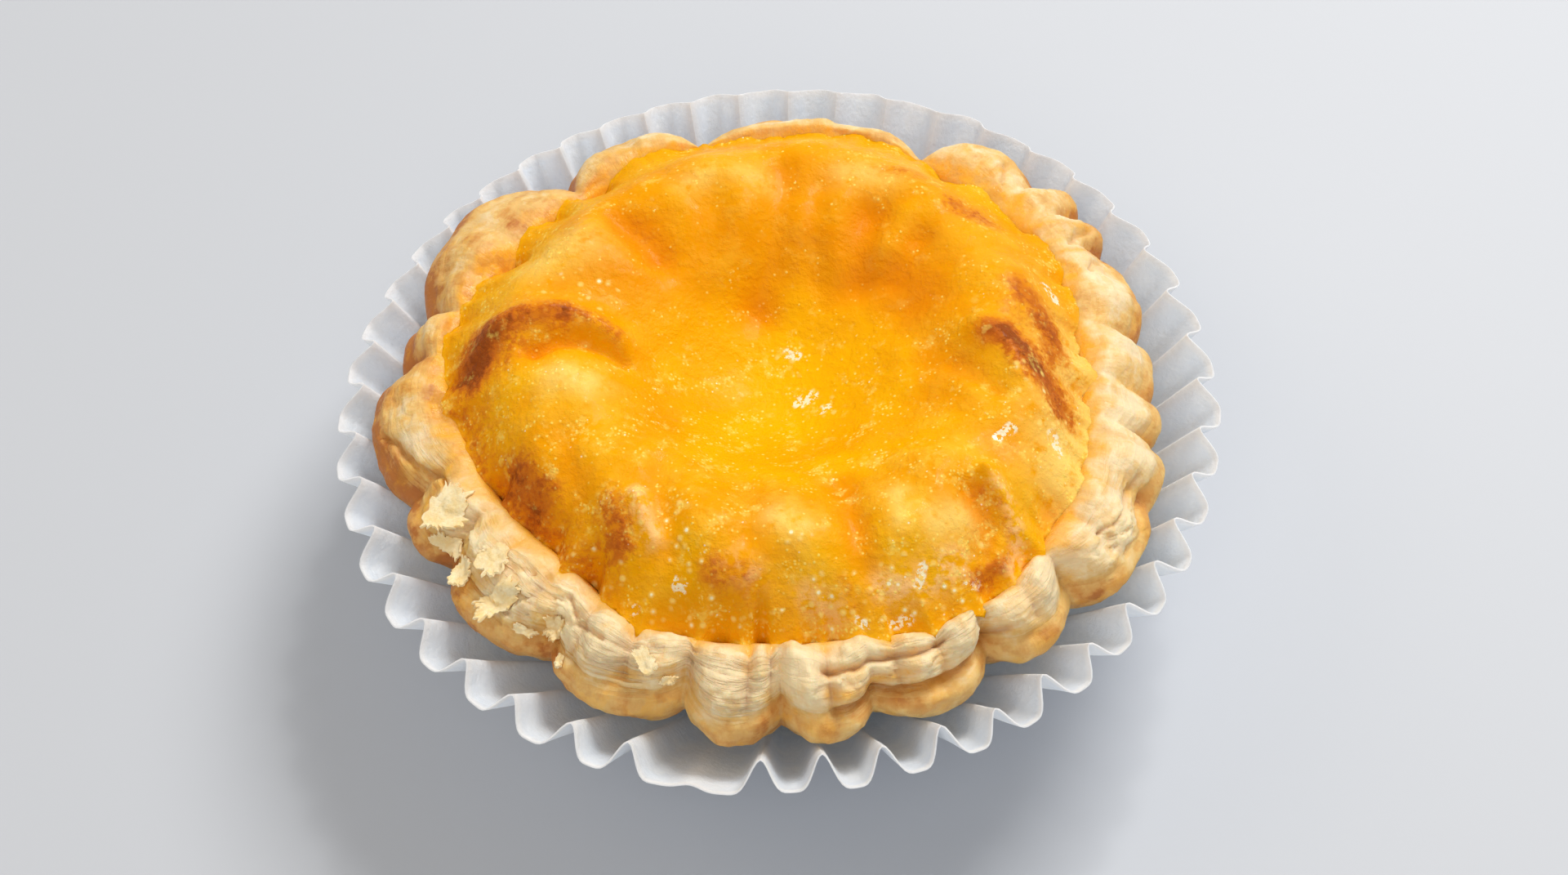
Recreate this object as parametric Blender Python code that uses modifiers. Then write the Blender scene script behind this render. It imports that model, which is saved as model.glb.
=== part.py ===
"""Egg tart in its fluted paper case.

A scalloped pastry shell holds a custard that puffed up in a ring round a deep middle and browned on its
high places. The shell stands in a thin paper case with pleated sides. Lengths are in millimetres and
angles in degrees, counter-clockwise from +X, until a mesh is written, which is in metres. +Z is up, +Y
points away from the viewer, and the origin is the middle of the underside of the case.
"""

import math
import random

import bpy
from mathutils import Vector, noise

MM = 0.001
MERGE_DISTANCE = 0.0001
TOUCH_GAP = 0.3

# Paper case: a flat base and a sloping wall of broad flutes between narrow inward folds.
PAPER = 0.3
CASE_BASE_RADIUS = 25.5
CASE_RIM_RADIUS = 44.9
CASE_RIM_HEIGHT = 23.2
CASE_FLUTES = 46
CASE_FLUTE_DEPTH = 3.2
CASE_FLUTE_FULLNESS = 2.2
CASE_FLUTE_STEPS = 6
CASE_WALL_BANDS = 3
# One double flute at the front has only a shallow dent for a fold, and the others are a little uneven.
CASE_SEED = 46
CASE_DENT_ANGLE = 258.5
CASE_DENT_DEPTH = -0.7
CASE_DOUBLE_FLUTE = 16.0
CASE_DEPTH_SPREAD = 0.15
CASE_JITTER = 0.25
# Slow drift of the folds round the case: size, peak angle and number of peaks.
CASE_DRIFTS = ((1.5, 70.0, 2), (0.7, 47.0, 1))
CASE_OVAL = 0.5
CASE_OVAL_ANGLE = 57.0

# Pastry shell: radius, height, share of the pleats and share of the filling's outline at each ring,
# from the middle of the inner floor up over the rim and down to the middle of the underside.
SHELL_STEPS = 152
SHELL_FLOOR = 5.0
SHELL_UNDERSIDE = PAPER + TOUCH_GAP
PLEAT_RADIUS = 40.5
FILLING_RADIUS = 32.3
FILLING_EDGE_HEIGHT = 26.2
SHELL_PROFILE = (
    (0.0, SHELL_FLOOR, 0.0, 0.0),
    (19.5, SHELL_FLOOR, 0.0, 0.0),
    (24.2, 8.4, 0.0, 0.3),
    (30.2, 18.6, 0.0, 0.8),
    (FILLING_RADIUS + TOUCH_GAP, FILLING_EDGE_HEIGHT, 0.0, 1.0),
    (33.6, 27.3, 0.1, 0.9),
    (35.2, 27.7, 0.4, 0.6),
    (37.0, 27.1, 0.6, 0.4),
    (38.1, 25.9, 0.8, 0.1),
    (39.3, 24.9, 1.0, 0.0),
    (PLEAT_RADIUS, 22.9, 1.0, 0.0),
    (39.9, 20.8, 1.0, 0.0),
    (37.4, 18.0, 0.8, 0.0),
    (33.4, 13.0, 0.5, 0.0),
    (28.8, 6.6, 0.2, 0.0),
    (24.6, 1.8, 0.0, 0.0),
    (22.4, SHELL_UNDERSIDE, 0.0, 0.0),
    (0.0, SHELL_UNDERSIDE, 0.0, 0.0),
)
# The rings of the inner side that the filling lies against, from the top down.
FILLED_RINGS = (3, 2, 1)
# Where each pleat of the rim starts: angle of the crease, radius there, radius and lift of the bulge.
PLEATS = (
    (8.4, 38.3, 40.8, 0.4),
    (27.0, 40.0, 41.3, 0.7),
    (34.3, 41.0, 42.3, 0.8),
    (42.2, 41.2, 41.5, 1.2),
    (61.0, 36.8, 38.9, 1.2),
    (103.4, 36.0, 40.2, 1.3),
    (129.2, 37.0, 42.2, 1.4),
    (164.1, 38.6, 40.2, 0.6),
    (174.2, 39.5, 41.9, 0.6),
    (198.3, 39.4, 40.6, 0.2),
    (210.5, 37.8, 40.6, 0.3),
    (233.0, 38.0, 40.5, 0.0),
    (254.7, 37.2, 40.9, 0.0),
    (269.2, 38.0, 41.0, 0.0),
    (282.5, 38.4, 40.3, 0.0),
    (301.0, 37.3, 40.1, 0.0),
    (317.0, 38.0, 41.6, 0.2),
    (337.0, 40.2, 40.9, 0.2),
    (347.4, 38.1, 39.5, 0.0),
    (356.4, 38.2, 39.6, 0.0),
)
PLEAT_FULLNESS = 2.6
PLEAT_CREASE = 0.9
# Crags of the baked dough fade out below the rim, where the case and the tin pressed it smooth.
CRAG_HEIGHT = 0.6
CRAG_SIZE = 4.0
CRAG_FLOOR = 15.0
CRAG_FADE = 4.0
# Flakes that lift off the front left of the rim: angle, radius, half length, half width, thickness.
FLAKES = (
    (213.0, 38.2, 2.6, 3.6, 1.1),
    (221.0, 38.0, 2.8, 2.2, 1.2),
    (226.5, 38.6, 2.2, 2.8, 1.1),
    (234.5, 37.6, 2.4, 2.2, 1.0),
)
FLAKE_EDGE = 0.5
# Splits where the layers of dough came apart: first and last angle, radius, depth, half width.
SPLITS = (
    (277.0, 303.0, 37.4, 1.0, 1.1),
    (196.0, 209.0, 38.8, 0.8, 1.2),
    (324.0, 342.0, 38.6, 0.8, 1.1),
)

# Custard: outline as angle and radius, then the heights of its puffed ring and of its middle.
FILLING_OUTLINE = (
    (5.0, 30.6),
    (30.0, 31.8),
    (50.0, 32.0),
    (75.0, 33.2),
    (100.0, 32.3),
    (143.0, 31.5),
    (173.0, 33.5),
    (200.0, 31.3),
    (225.0, 30.2),
    (249.0, 32.7),
    (275.0, 32.5),
    (301.0, 34.4),
    (328.0, 32.5),
    (350.0, 30.8),
)
CUSTARD_RINGS = (0.0, 0.15, 0.28, 0.4, 0.5, 0.59, 0.67, 0.75, 0.82, 0.88, 0.93, 0.97, 1.0)
CUSTARD_CREST = 0.73
CUSTARD_CREST_HEIGHT = 32.6
CUSTARD_DIP_HEIGHT = 23.6
CUSTARD_DIP = Vector((-0.4, -0.6))
SWELL_HEIGHT = 0.6
SWELL_SIZE = 11.0
# Folds of the skin: height, half width and the points that each runs through, seen from above.
SKIN_FOLDS = (
    (1.6, 2.2, ((-31.0, 0.5), (-26.0, 3.9), (-20.0, 5.0), (-15.5, 3.8))),
    (-1.2, 2.4, ((-24.0, -1.5), (-17.0, -0.5))),
    (-1.5, 2.8, ((-15.5, 15.0), (-11.5, 16.0))),
    (-1.2, 2.2, ((2.6, 23.0), (2.8, 15.0), (3.2, 9.0))),
    (0.8, 2.6, ((-4.0, 24.0), (-2.0, 14.0))),
    (0.7, 2.4, ((8.5, 21.0), (7.0, 13.0))),
    (-0.8, 2.0, ((12.5, 19.0), (10.0, 12.0))),
    (1.3, 2.0, ((21.0, 0.5), (25.5, -3.5), (28.5, -8.0))),
    (0.9, 2.0, ((26.5, 8.0), (28.5, 1.5))),
    (0.9, 2.2, ((20.0, -18.5), (22.5, -21.5), (21.0, -25.0))),
    (-0.9, 2.2, ((17.0, -19.0), (18.5, -22.5))),
    (0.8, 3.0, ((-24.0, -17.0), (-22.0, -19.0))),
    (0.9, 2.6, ((-14.5, -22.7), (-12.0, -21.0))),
    (0.7, 2.8, ((-5.0, -27.0), (-3.0, -25.0))),
    (0.8, 3.0, ((-7.0, -17.5), (3.5, -19.5))),
    (-0.7, 2.4, ((6.0, -16.0), (8.0, -21.0))),
)


# Helpers


def clear_scene():
    """Remove every object that the scene starts with."""
    for item in list(bpy.data.objects):
        bpy.data.objects.remove(item, do_unlink=True)


def principled(name, color, roughness):
    """A plain material of one colour and roughness."""
    material = bpy.data.materials.new(name)
    material.use_nodes = True
    shader = material.node_tree.nodes["Principled BSDF"]
    shader.inputs["Base Color"].default_value = (*color, 1.0)
    shader.inputs["Roughness"].default_value = roughness
    shader.inputs["Metallic"].default_value = 0.0
    return material


def turned(collection, name, profile, steps, material):
    """An object turned round the Z axis from radius and height points, held as a plain mesh."""
    section = bpy.data.meshes.new(name + "_section")
    points = [(radius * MM, 0.0, height * MM) for radius, height in profile]
    edges = [(index, index + 1) for index in range(len(points) - 1)]
    section.from_pydata(points, edges, [])
    piece = bpy.data.objects.new(name, section)
    collection.objects.link(piece)
    screw = piece.modifiers.new("Turn", "SCREW")
    screw.steps = steps
    screw.render_steps = steps
    screw.use_merge_vertices = True
    screw.merge_threshold = MERGE_DISTANCE
    bpy.context.view_layer.update()
    evaluated = piece.evaluated_get(bpy.context.evaluated_depsgraph_get())
    piece.data = bpy.data.meshes.new_from_object(evaluated)
    piece.data.name = name
    piece.modifiers.remove(screw)
    bpy.data.meshes.remove(section)
    piece.data.materials.append(material)
    return piece


def reshape(piece, profile, steps, place):
    """Move every vertex to place(turn, ring), by its step round the axis and its profile point."""
    for vertex in piece.data.vertices:
        x, y, height = vertex.co / MM
        radius = math.hypot(x, y)
        distances = [math.hypot(radius - r, height - h) for r, h in profile]
        ring = distances.index(min(distances))
        turn = round(math.degrees(math.atan2(y, x)) / 360 * steps) % steps
        vertex.co = place(turn, ring) * MM
    piece.data.update()


def polar(radius, angle, height=0.0):
    """The point at a radius, an angle and a height."""
    turn = math.radians(angle)
    return Vector((radius * math.cos(turn), radius * math.sin(turn), height))


def wave(angle, peak, count):
    """A smooth wave from -1 to 1 with so many peaks round the circle, the first at the peak angle."""
    return math.cos(math.radians((angle - peak) * count))


def smooth(share):
    """Ease a share between 0 and 1, flat at both ends."""
    share = min(max(share, 0.0), 1.0)
    return share * share * (3 - 2 * share)


def hump(distance, half_width):
    """A soft hump, 1 in the middle and near 0 at twice its half width."""
    return math.exp(-((distance / half_width) ** 2))


def angle_apart(first, second):
    """How far apart two angles are, from 0 to 180."""
    return abs((second - first + 180) % 360 - 180)


def around(table, angle):
    """The rows of an angle-sorted table on each side of an angle, and the share of the way between."""
    for row, following in zip(table, table[1:] + table[:1]):
        share = ((angle - row[0]) % 360) / ((following[0] - row[0]) % 360)
        if share < 1:
            break
    return row, following, share


def path_distance(point, path):
    """How far a point is from a path of straight runs."""
    best = math.inf
    for start, end in zip(path, path[1:]):
        start = Vector(start)
        run = Vector(end) - start
        share = min(max((point - start).dot(run) / run.length_squared, 0.0), 1.0)
        best = min(best, (point - start - run * share).length)
    return best


# Paper case


def flute_folds():
    """Angle and depth of each inward fold of the wall, in order round the case."""
    rng = random.Random(CASE_SEED)
    pitch = (360 - CASE_DOUBLE_FLUTE) / (CASE_FLUTES - 2)
    folds = [(CASE_DENT_ANGLE, CASE_DENT_DEPTH)]
    for count in range(CASE_FLUTES - 1):
        angle = CASE_DENT_ANGLE + CASE_DOUBLE_FLUTE / 2 + count * pitch
        for drift, peak, peaks in CASE_DRIFTS:
            angle += drift * (wave(angle, peak, peaks) - wave(CASE_DENT_ANGLE, peak, peaks))
        angle += rng.uniform(-CASE_JITTER, CASE_JITTER)
        folds.append((angle, 1 + rng.uniform(-CASE_DEPTH_SPREAD, CASE_DEPTH_SPREAD)))
    folds.append((CASE_DENT_ANGLE + 360, CASE_DENT_DEPTH))
    return folds


CASE_FOLDS = flute_folds()
CASE_RUN = CASE_RIM_RADIUS - CASE_BASE_RADIUS
CASE_SLOPE = math.hypot(CASE_RUN, CASE_RIM_HEIGHT)
CASE_INWARD = CASE_RIM_HEIGHT / CASE_SLOPE
CASE_UPWARD = CASE_RUN / CASE_SLOPE
CASE_PROFILE = [(0.0, 0.0)] + [
    (CASE_BASE_RADIUS + CASE_RUN * band / CASE_WALL_BANDS, CASE_RIM_HEIGHT * band / CASE_WALL_BANDS)
    for band in range(CASE_WALL_BANDS + 1)
]


def case_point(turn, ring):
    """A point in the middle of the paper's thickness."""
    if ring == 0:
        return Vector((0.0, 0.0, PAPER / 2))
    flute, part = divmod(turn, CASE_FLUTE_STEPS)
    (start, start_depth), (end, end_depth) = CASE_FOLDS[flute : flute + 2]
    share = part / CASE_FLUTE_STEPS
    angle = start + (end - start) * share
    along = (ring - 1) / CASE_WALL_BANDS
    nearness = ((1 + math.cos(math.tau * share)) / 2) ** CASE_FLUTE_FULLNESS
    fold_depth = start_depth if share < 0.5 else end_depth
    depth = CASE_FLUTE_DEPTH / 2 * along * (nearness * (fold_depth + 1) - 1)
    radius, height = CASE_PROFILE[ring]
    radius += CASE_OVAL * along * wave(angle, CASE_OVAL_ANGLE, 2) - depth * CASE_INWARD
    return polar(radius, angle, PAPER / 2 + height + depth * CASE_UPWARD)


def case_limit(height, angle):
    """The largest radius at a height that stays clear of the inward folds of the case."""
    deepest = (1 + CASE_DEPTH_SPREAD) * CASE_FLUTE_DEPTH / 2
    run = CASE_RUN - deepest * CASE_INWARD + CASE_OVAL * wave(angle, CASE_OVAL_ANGLE, 2)
    rise = (height - PAPER / 2) / (CASE_RIM_HEIGHT + deepest * CASE_UPWARD)
    return CASE_BASE_RADIUS + run * rise - (PAPER / 2 + TOUCH_GAP) / CASE_INWARD


def make_case(collection):
    """The pleated paper case, given its thickness by Solidify."""
    steps = CASE_FLUTES * CASE_FLUTE_STEPS
    paper = principled("paper_case", (0.86, 0.88, 0.87), 0.6)
    case = turned(collection, "paper_case", CASE_PROFILE, steps, paper)
    reshape(case, CASE_PROFILE, steps, case_point)
    wall = case.modifiers.new("Paper", "SOLIDIFY")
    wall.thickness = PAPER * MM
    wall.offset = 0.0
    wall.use_even_offset = True


# Pastry shell


def pleat(angle):
    """Radius and lift of the rim at an angle: full bulges between sharp creases."""
    row, following, share = around(PLEATS, angle)
    crease = row[1] + (following[1] - row[1]) * share
    full = 1 - abs(2 * share - 1) ** PLEAT_FULLNESS
    lift = row[3] * full - PLEAT_CREASE * (1 - full)
    return crease + (row[2] - crease) * full, lift


def filling_radius(angle):
    """Radius of the custard's outline at an angle."""
    row, following, share = around(FILLING_OUTLINE, angle)
    return row[1] + (following[1] - row[1]) * smooth(share)


def flake_relief(point):
    """How far the loose flakes stand up at a point of the rim."""
    relief = 0.0
    for angle, radius, half_length, half_width, thickness in FLAKES:
        offset = point - polar(radius, angle, point.z)
        reach = math.hypot(offset.x / half_length, offset.y / half_width)
        relief = max(relief, thickness * (1 - smooth(reach - FLAKE_EDGE)))
    return relief


def split_relief(angle, radius):
    """How deep the splits between layers of dough are at a place on the rim."""
    relief = 0.0
    for first, last, split_radius, depth, half_width in SPLITS:
        half_turn = (last - first) / 2
        reach = angle_apart(first + half_turn, angle) / half_turn
        relief += depth * (1 - smooth(2 * reach - 1)) * hump(radius - split_radius, half_width)
    return relief


def shell_point(turn, ring):
    """A point of the pastry's surface."""
    angle = 360 * turn / SHELL_STEPS
    radius, height, pleat_share, filling_share = SHELL_PROFILE[ring]
    if radius == 0:
        return Vector((0.0, 0.0, height))
    exposed = smooth((height - CRAG_FLOOR) / CRAG_FADE)
    pleat_radius, lift = pleat(angle)
    radius += pleat_share * (pleat_radius - PLEAT_RADIUS)
    radius += filling_share * (filling_radius(angle) - FILLING_RADIUS)
    height += pleat_share * lift * exposed
    if pleat_share > 0:
        point = polar(radius, angle, height)
        crag = CRAG_HEIGHT * exposed * noise.noise(point / CRAG_SIZE)
        radius += crag
        height += crag + flake_relief(point) - split_relief(angle, radius)
        radius = min(radius, case_limit(height, angle))
    return polar(radius, angle, height)


def make_shell(collection):
    """The pastry shell: a cup with a pleated, flaky rim."""
    profile = [(radius, height) for radius, height, _, _ in SHELL_PROFILE]
    pastry = principled("crust", (0.82, 0.58, 0.27), 0.55)
    shell = turned(collection, "crust", profile, SHELL_STEPS, pastry)
    reshape(shell, profile, SHELL_STEPS, shell_point)
    shell.data.shade_smooth()


# Custard


def custard_height(share, point):
    """Height of the custard's skin: share is 1 at its outline and 0 in the middle of the dip."""
    if share > CUSTARD_CREST:
        fall = (share - CUSTARD_CREST) / (1 - CUSTARD_CREST)
        fade = math.sqrt(1 - fall * fall)
        height = FILLING_EDGE_HEIGHT + (CUSTARD_CREST_HEIGHT - FILLING_EDGE_HEIGHT) * fade
    else:
        fade = 1.0
        rise = (1 - math.cos(math.pi * share / CUSTARD_CREST)) / 2
        height = CUSTARD_DIP_HEIGHT + (CUSTARD_CREST_HEIGHT - CUSTARD_DIP_HEIGHT) * rise
    height += fade * SWELL_HEIGHT * noise.noise(Vector((point.x, point.y, 0.0)) / SWELL_SIZE)
    for lift, half_width, path in SKIN_FOLDS:
        height += fade * lift * hump(path_distance(point, path), half_width)
    return height


def custard_profile():
    """Radius and height of the custard's rings: its skin, then its side and floor in the shell."""
    skin = [(share * FILLING_RADIUS, custard_height(share, CUSTARD_DIP)) for share in CUSTARD_RINGS]
    side = [
        (SHELL_PROFILE[ring][0] - TOUCH_GAP, SHELL_PROFILE[ring][1] + TOUCH_GAP) for ring in FILLED_RINGS
    ]
    return skin + side + [(0.0, SHELL_FLOOR + TOUCH_GAP)]


CUSTARD_PROFILE = custard_profile()


def custard_point(turn, ring):
    """A point of the custard's surface."""
    angle = 360 * turn / SHELL_STEPS
    radius, height = CUSTARD_PROFILE[ring]
    depth_ring = ring - len(CUSTARD_RINGS)
    if depth_ring < 0:
        share = CUSTARD_RINGS[ring]
        point = CUSTARD_DIP.lerp(polar(filling_radius(angle), angle).xy, share)
        return Vector((*point, custard_height(share, point)))
    if radius == 0:
        return Vector((0.0, 0.0, height))
    filling_share = SHELL_PROFILE[FILLED_RINGS[depth_ring]][3]
    return polar(radius + filling_share * (filling_radius(angle) - FILLING_RADIUS), angle, height)


def make_custard(collection):
    """The custard: fills the shell and stands above it in a folded, puffed ring."""
    filling = principled("custard", (0.93, 0.55, 0.05), 0.25)
    custard = turned(collection, "custard", CUSTARD_PROFILE, SHELL_STEPS, filling)
    reshape(custard, CUSTARD_PROFILE, SHELL_STEPS, custard_point)
    custard.data.shade_smooth()


clear_scene()
tart = bpy.data.collections.new("egg_tart")
bpy.context.scene.collection.children.link(tart)
make_case(tart)
make_shell(tart)
make_custard(tart)
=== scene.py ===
# %% [markdown]
# # An egg tart in its paper case
#
# A scalloped pastry shell holds an egg custard that puffed up in a ring and browned on its high
# places, and the whole stands in a thin, pleated paper case. The solid parts come from the model of
# the construction. This lesson puts finished pieces in their places: crisp paper, flaky pastry, a
# glossy folded skin on the custard, and the few flakes that broke loose at the front.

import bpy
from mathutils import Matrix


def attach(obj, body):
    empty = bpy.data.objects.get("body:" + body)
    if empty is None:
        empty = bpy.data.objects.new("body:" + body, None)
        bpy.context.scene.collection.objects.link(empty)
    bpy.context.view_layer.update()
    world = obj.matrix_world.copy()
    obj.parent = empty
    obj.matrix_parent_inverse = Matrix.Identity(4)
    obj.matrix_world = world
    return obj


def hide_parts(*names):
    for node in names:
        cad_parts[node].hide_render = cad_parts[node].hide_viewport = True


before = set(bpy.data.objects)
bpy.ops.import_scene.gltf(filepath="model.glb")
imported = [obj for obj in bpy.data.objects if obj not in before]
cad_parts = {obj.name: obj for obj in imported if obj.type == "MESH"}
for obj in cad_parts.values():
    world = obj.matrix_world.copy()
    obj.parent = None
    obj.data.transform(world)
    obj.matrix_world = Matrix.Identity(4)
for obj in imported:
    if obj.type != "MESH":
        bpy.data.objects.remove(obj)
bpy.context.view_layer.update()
print("solid parts:", sorted(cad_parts))

# %% [markdown]
# ## Measurements and small helpers
#
# Everything below is thought out in millimetres and degrees, because that is how a baker would
# measure it, and turned into metres only when a mesh is written. NumPy moves many vertices at once,
# and Blender's own noise gives the unevenness that no baked thing is without.

# %% Units and imports
import math
import random

import bpy
import numpy as np
from mathutils import Matrix, Vector, noise

MM = 0.001
MERGE = 0.00001


# %% Soft steps and humps
def smooth(share):
    """Ease shares between 0 and 1, flat at both ends."""
    share = np.clip(share, 0.0, 1.0)
    return share * share * (3 - 2 * share)


def ramp(value, start, end):
    """Ease from 0 at the start to 1 at the end, which may be the smaller of the two."""
    return smooth((value - start) / (end - start))


def zone(value, limits):
    """1 between the middle two of four limits, eased to 0 at the outer two."""
    return ramp(value, limits[0], limits[1]) * ramp(value, limits[3], limits[2])


def at_least(least, share):
    """A share that starts from a least amount in place of 0."""
    return least + (1 - least) * share


def hump(distance, half_width):
    """A soft hump: 1 in the middle, near 0 at twice its half width."""
    return np.exp(-((distance / half_width) ** 2))


# %% Round the circle
def wave(angle, peak, count):
    """A wave from -1 to 1 with so many peaks round the circle."""
    return np.cos(np.radians((angle - peak) * count))


def circular(radius, angle):
    """X and Y of points at a radius and an angle."""
    turn = np.radians(angle)
    return radius * np.cos(turn), radius * np.sin(turn)


def turn_from(angle, middle):
    """Degrees from a middle angle, from -180 to 180."""
    return (angle - middle + 180) % 360 - 180


def around(table, angle, column):
    """A column's value before and after each angle, and the share of the way between them."""
    starts = np.array([row[0] for row in table])
    values = np.array([row[column] for row in table])
    turned_by = (angle - starts[0]) % 360
    steps = (starts - starts[0]) % 360
    before = np.searchsorted(steps, turned_by, side="right") - 1
    after = (before + 1) % len(table)
    width = (starts[after] - starts[before]) % 360
    share = (turned_by - steps[before]) / width
    return values[before], values[after], share


def eased_round(table, angle):
    """A table's value at each angle, eased from row to row."""
    before, after, share = around(table, angle, 1)
    return before + (after - before) * smooth(share)


# %% Soft paths
def path_distance(x, y, path):
    """How far points are from a path of straight runs."""
    best = np.full(len(x), np.inf)
    for (x0, y0), (x1, y1) in zip(path, path[1:]):
        run_x, run_y = x1 - x0, y1 - y0
        share = ((x - x0) * run_x + (y - y0) * run_y) / (run_x * run_x + run_y * run_y)
        share = np.clip(share, 0.0, 1.0)
        best = np.minimum(best, np.hypot(x - x0 - run_x * share, y - y0 - run_y * share))
    return best


def drawn(paths, x, y):
    """The strongest of some soft paths at each place: a strength, a half width and points."""
    amount = np.zeros(len(x))
    for strength, half_width, path in paths:
        amount = np.maximum(amount, strength * hump(path_distance(x, y, path), half_width))
    return amount


# %% Unevenness
# Spreads the small numbers that noise gives for a cell, so that neighbours differ.
SCATTER = 7.3


def shrunk(x, y, z, size):
    """Points as vectors, counted in sizes."""
    return [Vector(point) for point in (np.column_stack((x, y, z)) / size).tolist()]


def lumps(x, y, z, size, octaves=1):
    """Smooth noise from about -1 to 1 in lumps of a size, with finer lumps on them."""
    points = shrunk(x, y, z, size)
    if octaves == 1:
        return np.array([noise.noise(point) for point in points])
    return np.array([noise.fractal(point, 1.0, 2.0, octaves) for point in points])


def plates(x, y, z, size):
    """A height from 0 to 1 for each of many small plates, with steps between them."""
    nearest = [noise.voronoi(point)[1][0] for point in shrunk(x, y, z, size)]
    return np.array([noise.cell(middle * SCATTER) for middle in nearest])


# %% [markdown]
# ## The camera
#
# The tart is seen from above at about 53 degrees, from close by. The lens is a normal one, and the
# camera is rolled by less than two degrees, as a hand-held one is.

# %% Place the camera
CAMERA_DOWN = 52.6
CAMERA_ROLL = -1.75
CAMERA_PLACE = (0.00046, -0.1415, 0.20065)
CAMERA_LENS = 49.9
CAMERA_SENSOR = 36

down = math.radians(CAMERA_DOWN)
roll = math.radians(CAMERA_ROLL)
ahead = Vector((0.0, math.cos(down), -math.sin(down)))
right = Vector((1.0, 0.0, 0.0))
up = right.cross(ahead)
rolled_right = right * math.cos(roll) + up * math.sin(roll)
rolled_up = up * math.cos(roll) - right * math.sin(roll)
camera = bpy.data.objects.new("camera", bpy.data.cameras.new("camera"))
bpy.context.scene.collection.objects.link(camera)
camera.matrix_world = Matrix((rolled_right, rolled_up, -ahead)).transposed().to_4x4()
camera.location = CAMERA_PLACE
camera.data.sensor_width = CAMERA_SENSOR
camera.data.lens = CAMERA_LENS
bpy.context.scene.camera = camera
print("camera at", CAMERA_PLACE, "looking down by", CAMERA_DOWN, "degrees")

# %% [markdown]
# ## Turned pieces
#
# The case, the pastry and the custard all start as turned forms. Each begins as one vertex that is
# extruded along a profile, and a Screw without a rise carries the line round the axis. That gives
# clean rows and columns of faces, so every vertex knows its place: how far round, and how far along
# the profile. Folds, pleats and creases are then pressed in by moving the vertices.


# %% Select a piece, and add to it
def select_only(*pieces):
    """Select these pieces and no others, with the first one active."""
    bpy.ops.object.select_all(action="DESELECT")
    for piece in pieces:
        piece.select_set(True)
    bpy.context.view_layer.objects.active = pieces[0]


def apply_modifier(piece, kind, **settings):
    """Add a modifier of a kind with its settings, and apply it."""
    select_only(piece)
    modifier = piece.modifiers.new(kind.title(), kind)
    for name, value in settings.items():
        setattr(modifier, name, value)
    bpy.ops.object.modifier_apply(modifier=modifier.name)


def add_plane(name, size=MM):
    """A new plane at the origin."""
    bpy.ops.object.select_all(action="DESELECT")
    bpy.ops.mesh.primitive_plane_add(size=size)
    piece = bpy.context.object
    piece.name = piece.data.name = name
    return piece


def edit_all(operator, **settings):
    """Run a mesh operator on the whole of the active piece."""
    bpy.ops.object.mode_set(mode="EDIT")
    bpy.ops.mesh.select_all(action="SELECT")
    operator(**settings)
    bpy.ops.object.mode_set(mode="OBJECT")


# %% Draw a profile and turn it
def turn_profile(name, profile, columns):
    """Extrude a vertex along the radius and height points, and screw that line round the Z axis."""
    piece = add_plane(name)
    bpy.ops.object.mode_set(mode="EDIT")
    bpy.ops.mesh.select_all(action="SELECT")
    bpy.ops.mesh.merge(type="CENTER")
    radius, height = profile[0]
    bpy.ops.transform.translate(value=(radius * MM, 0.0, height * MM))
    for (r0, h0), (r1, h1) in zip(profile, profile[1:]):
        step = ((r1 - r0) * MM, 0.0, (h1 - h0) * MM)
        bpy.ops.mesh.extrude_region_move(TRANSFORM_OT_translate={"value": step})
    bpy.ops.object.mode_set(mode="OBJECT")
    turns = {"steps": columns, "render_steps": columns}
    apply_modifier(piece, "SCREW", use_merge_vertices=True, merge_threshold=MERGE, **turns)
    edit_all(bpy.ops.mesh.normals_make_consistent, inside=False)
    print(name, "starts with", len(piece.data.vertices), "vertices")
    return piece


# %% Know every vertex's place, and move it
def places(piece, profile, columns):
    """For every vertex, its column round the axis and its row in the profile."""
    coords = np.empty(len(piece.data.vertices) * 3)
    piece.data.vertices.foreach_get("co", coords)
    x, y, z = coords.reshape(-1, 3).T / MM
    column = np.round(np.degrees(np.arctan2(y, x)) / 360 * columns).astype(int) % columns
    distances = [np.hypot(np.hypot(x, y) - r, z - h) for r, h in profile]
    return column, np.argmin(distances, axis=0)


def write_points(piece, x, y, z):
    """Put every vertex of a piece at its new place, given in millimetres."""
    coords = np.column_stack((x, y, z)) * MM
    piece.data.vertices.foreach_set("co", coords.ravel())
    piece.data.update()


def store(piece, name, *values):
    """Keep one value, or three as a vector, for every vertex, for the materials to read."""
    kind, member = ("FLOAT", "value") if len(values) == 1 else ("FLOAT_VECTOR", "vector")
    layer = piece.data.attributes.new(name, kind, "POINT")
    layer.data.foreach_set(member, np.column_stack(values).ravel())


# %% [markdown]
# ## The paper case
#
# A baking case is one disc of greaseproof paper pressed between fluted dies. The wall leans out and
# its flutes grow from the base to the rim: broad rounded flutes with narrower folds that turn
# inwards. The folds drift a little, and at the front left two flutes have become one wide one with
# a shallow dent. The paper is first a single spun sheet, and Solidify then gives it its thickness.

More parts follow.
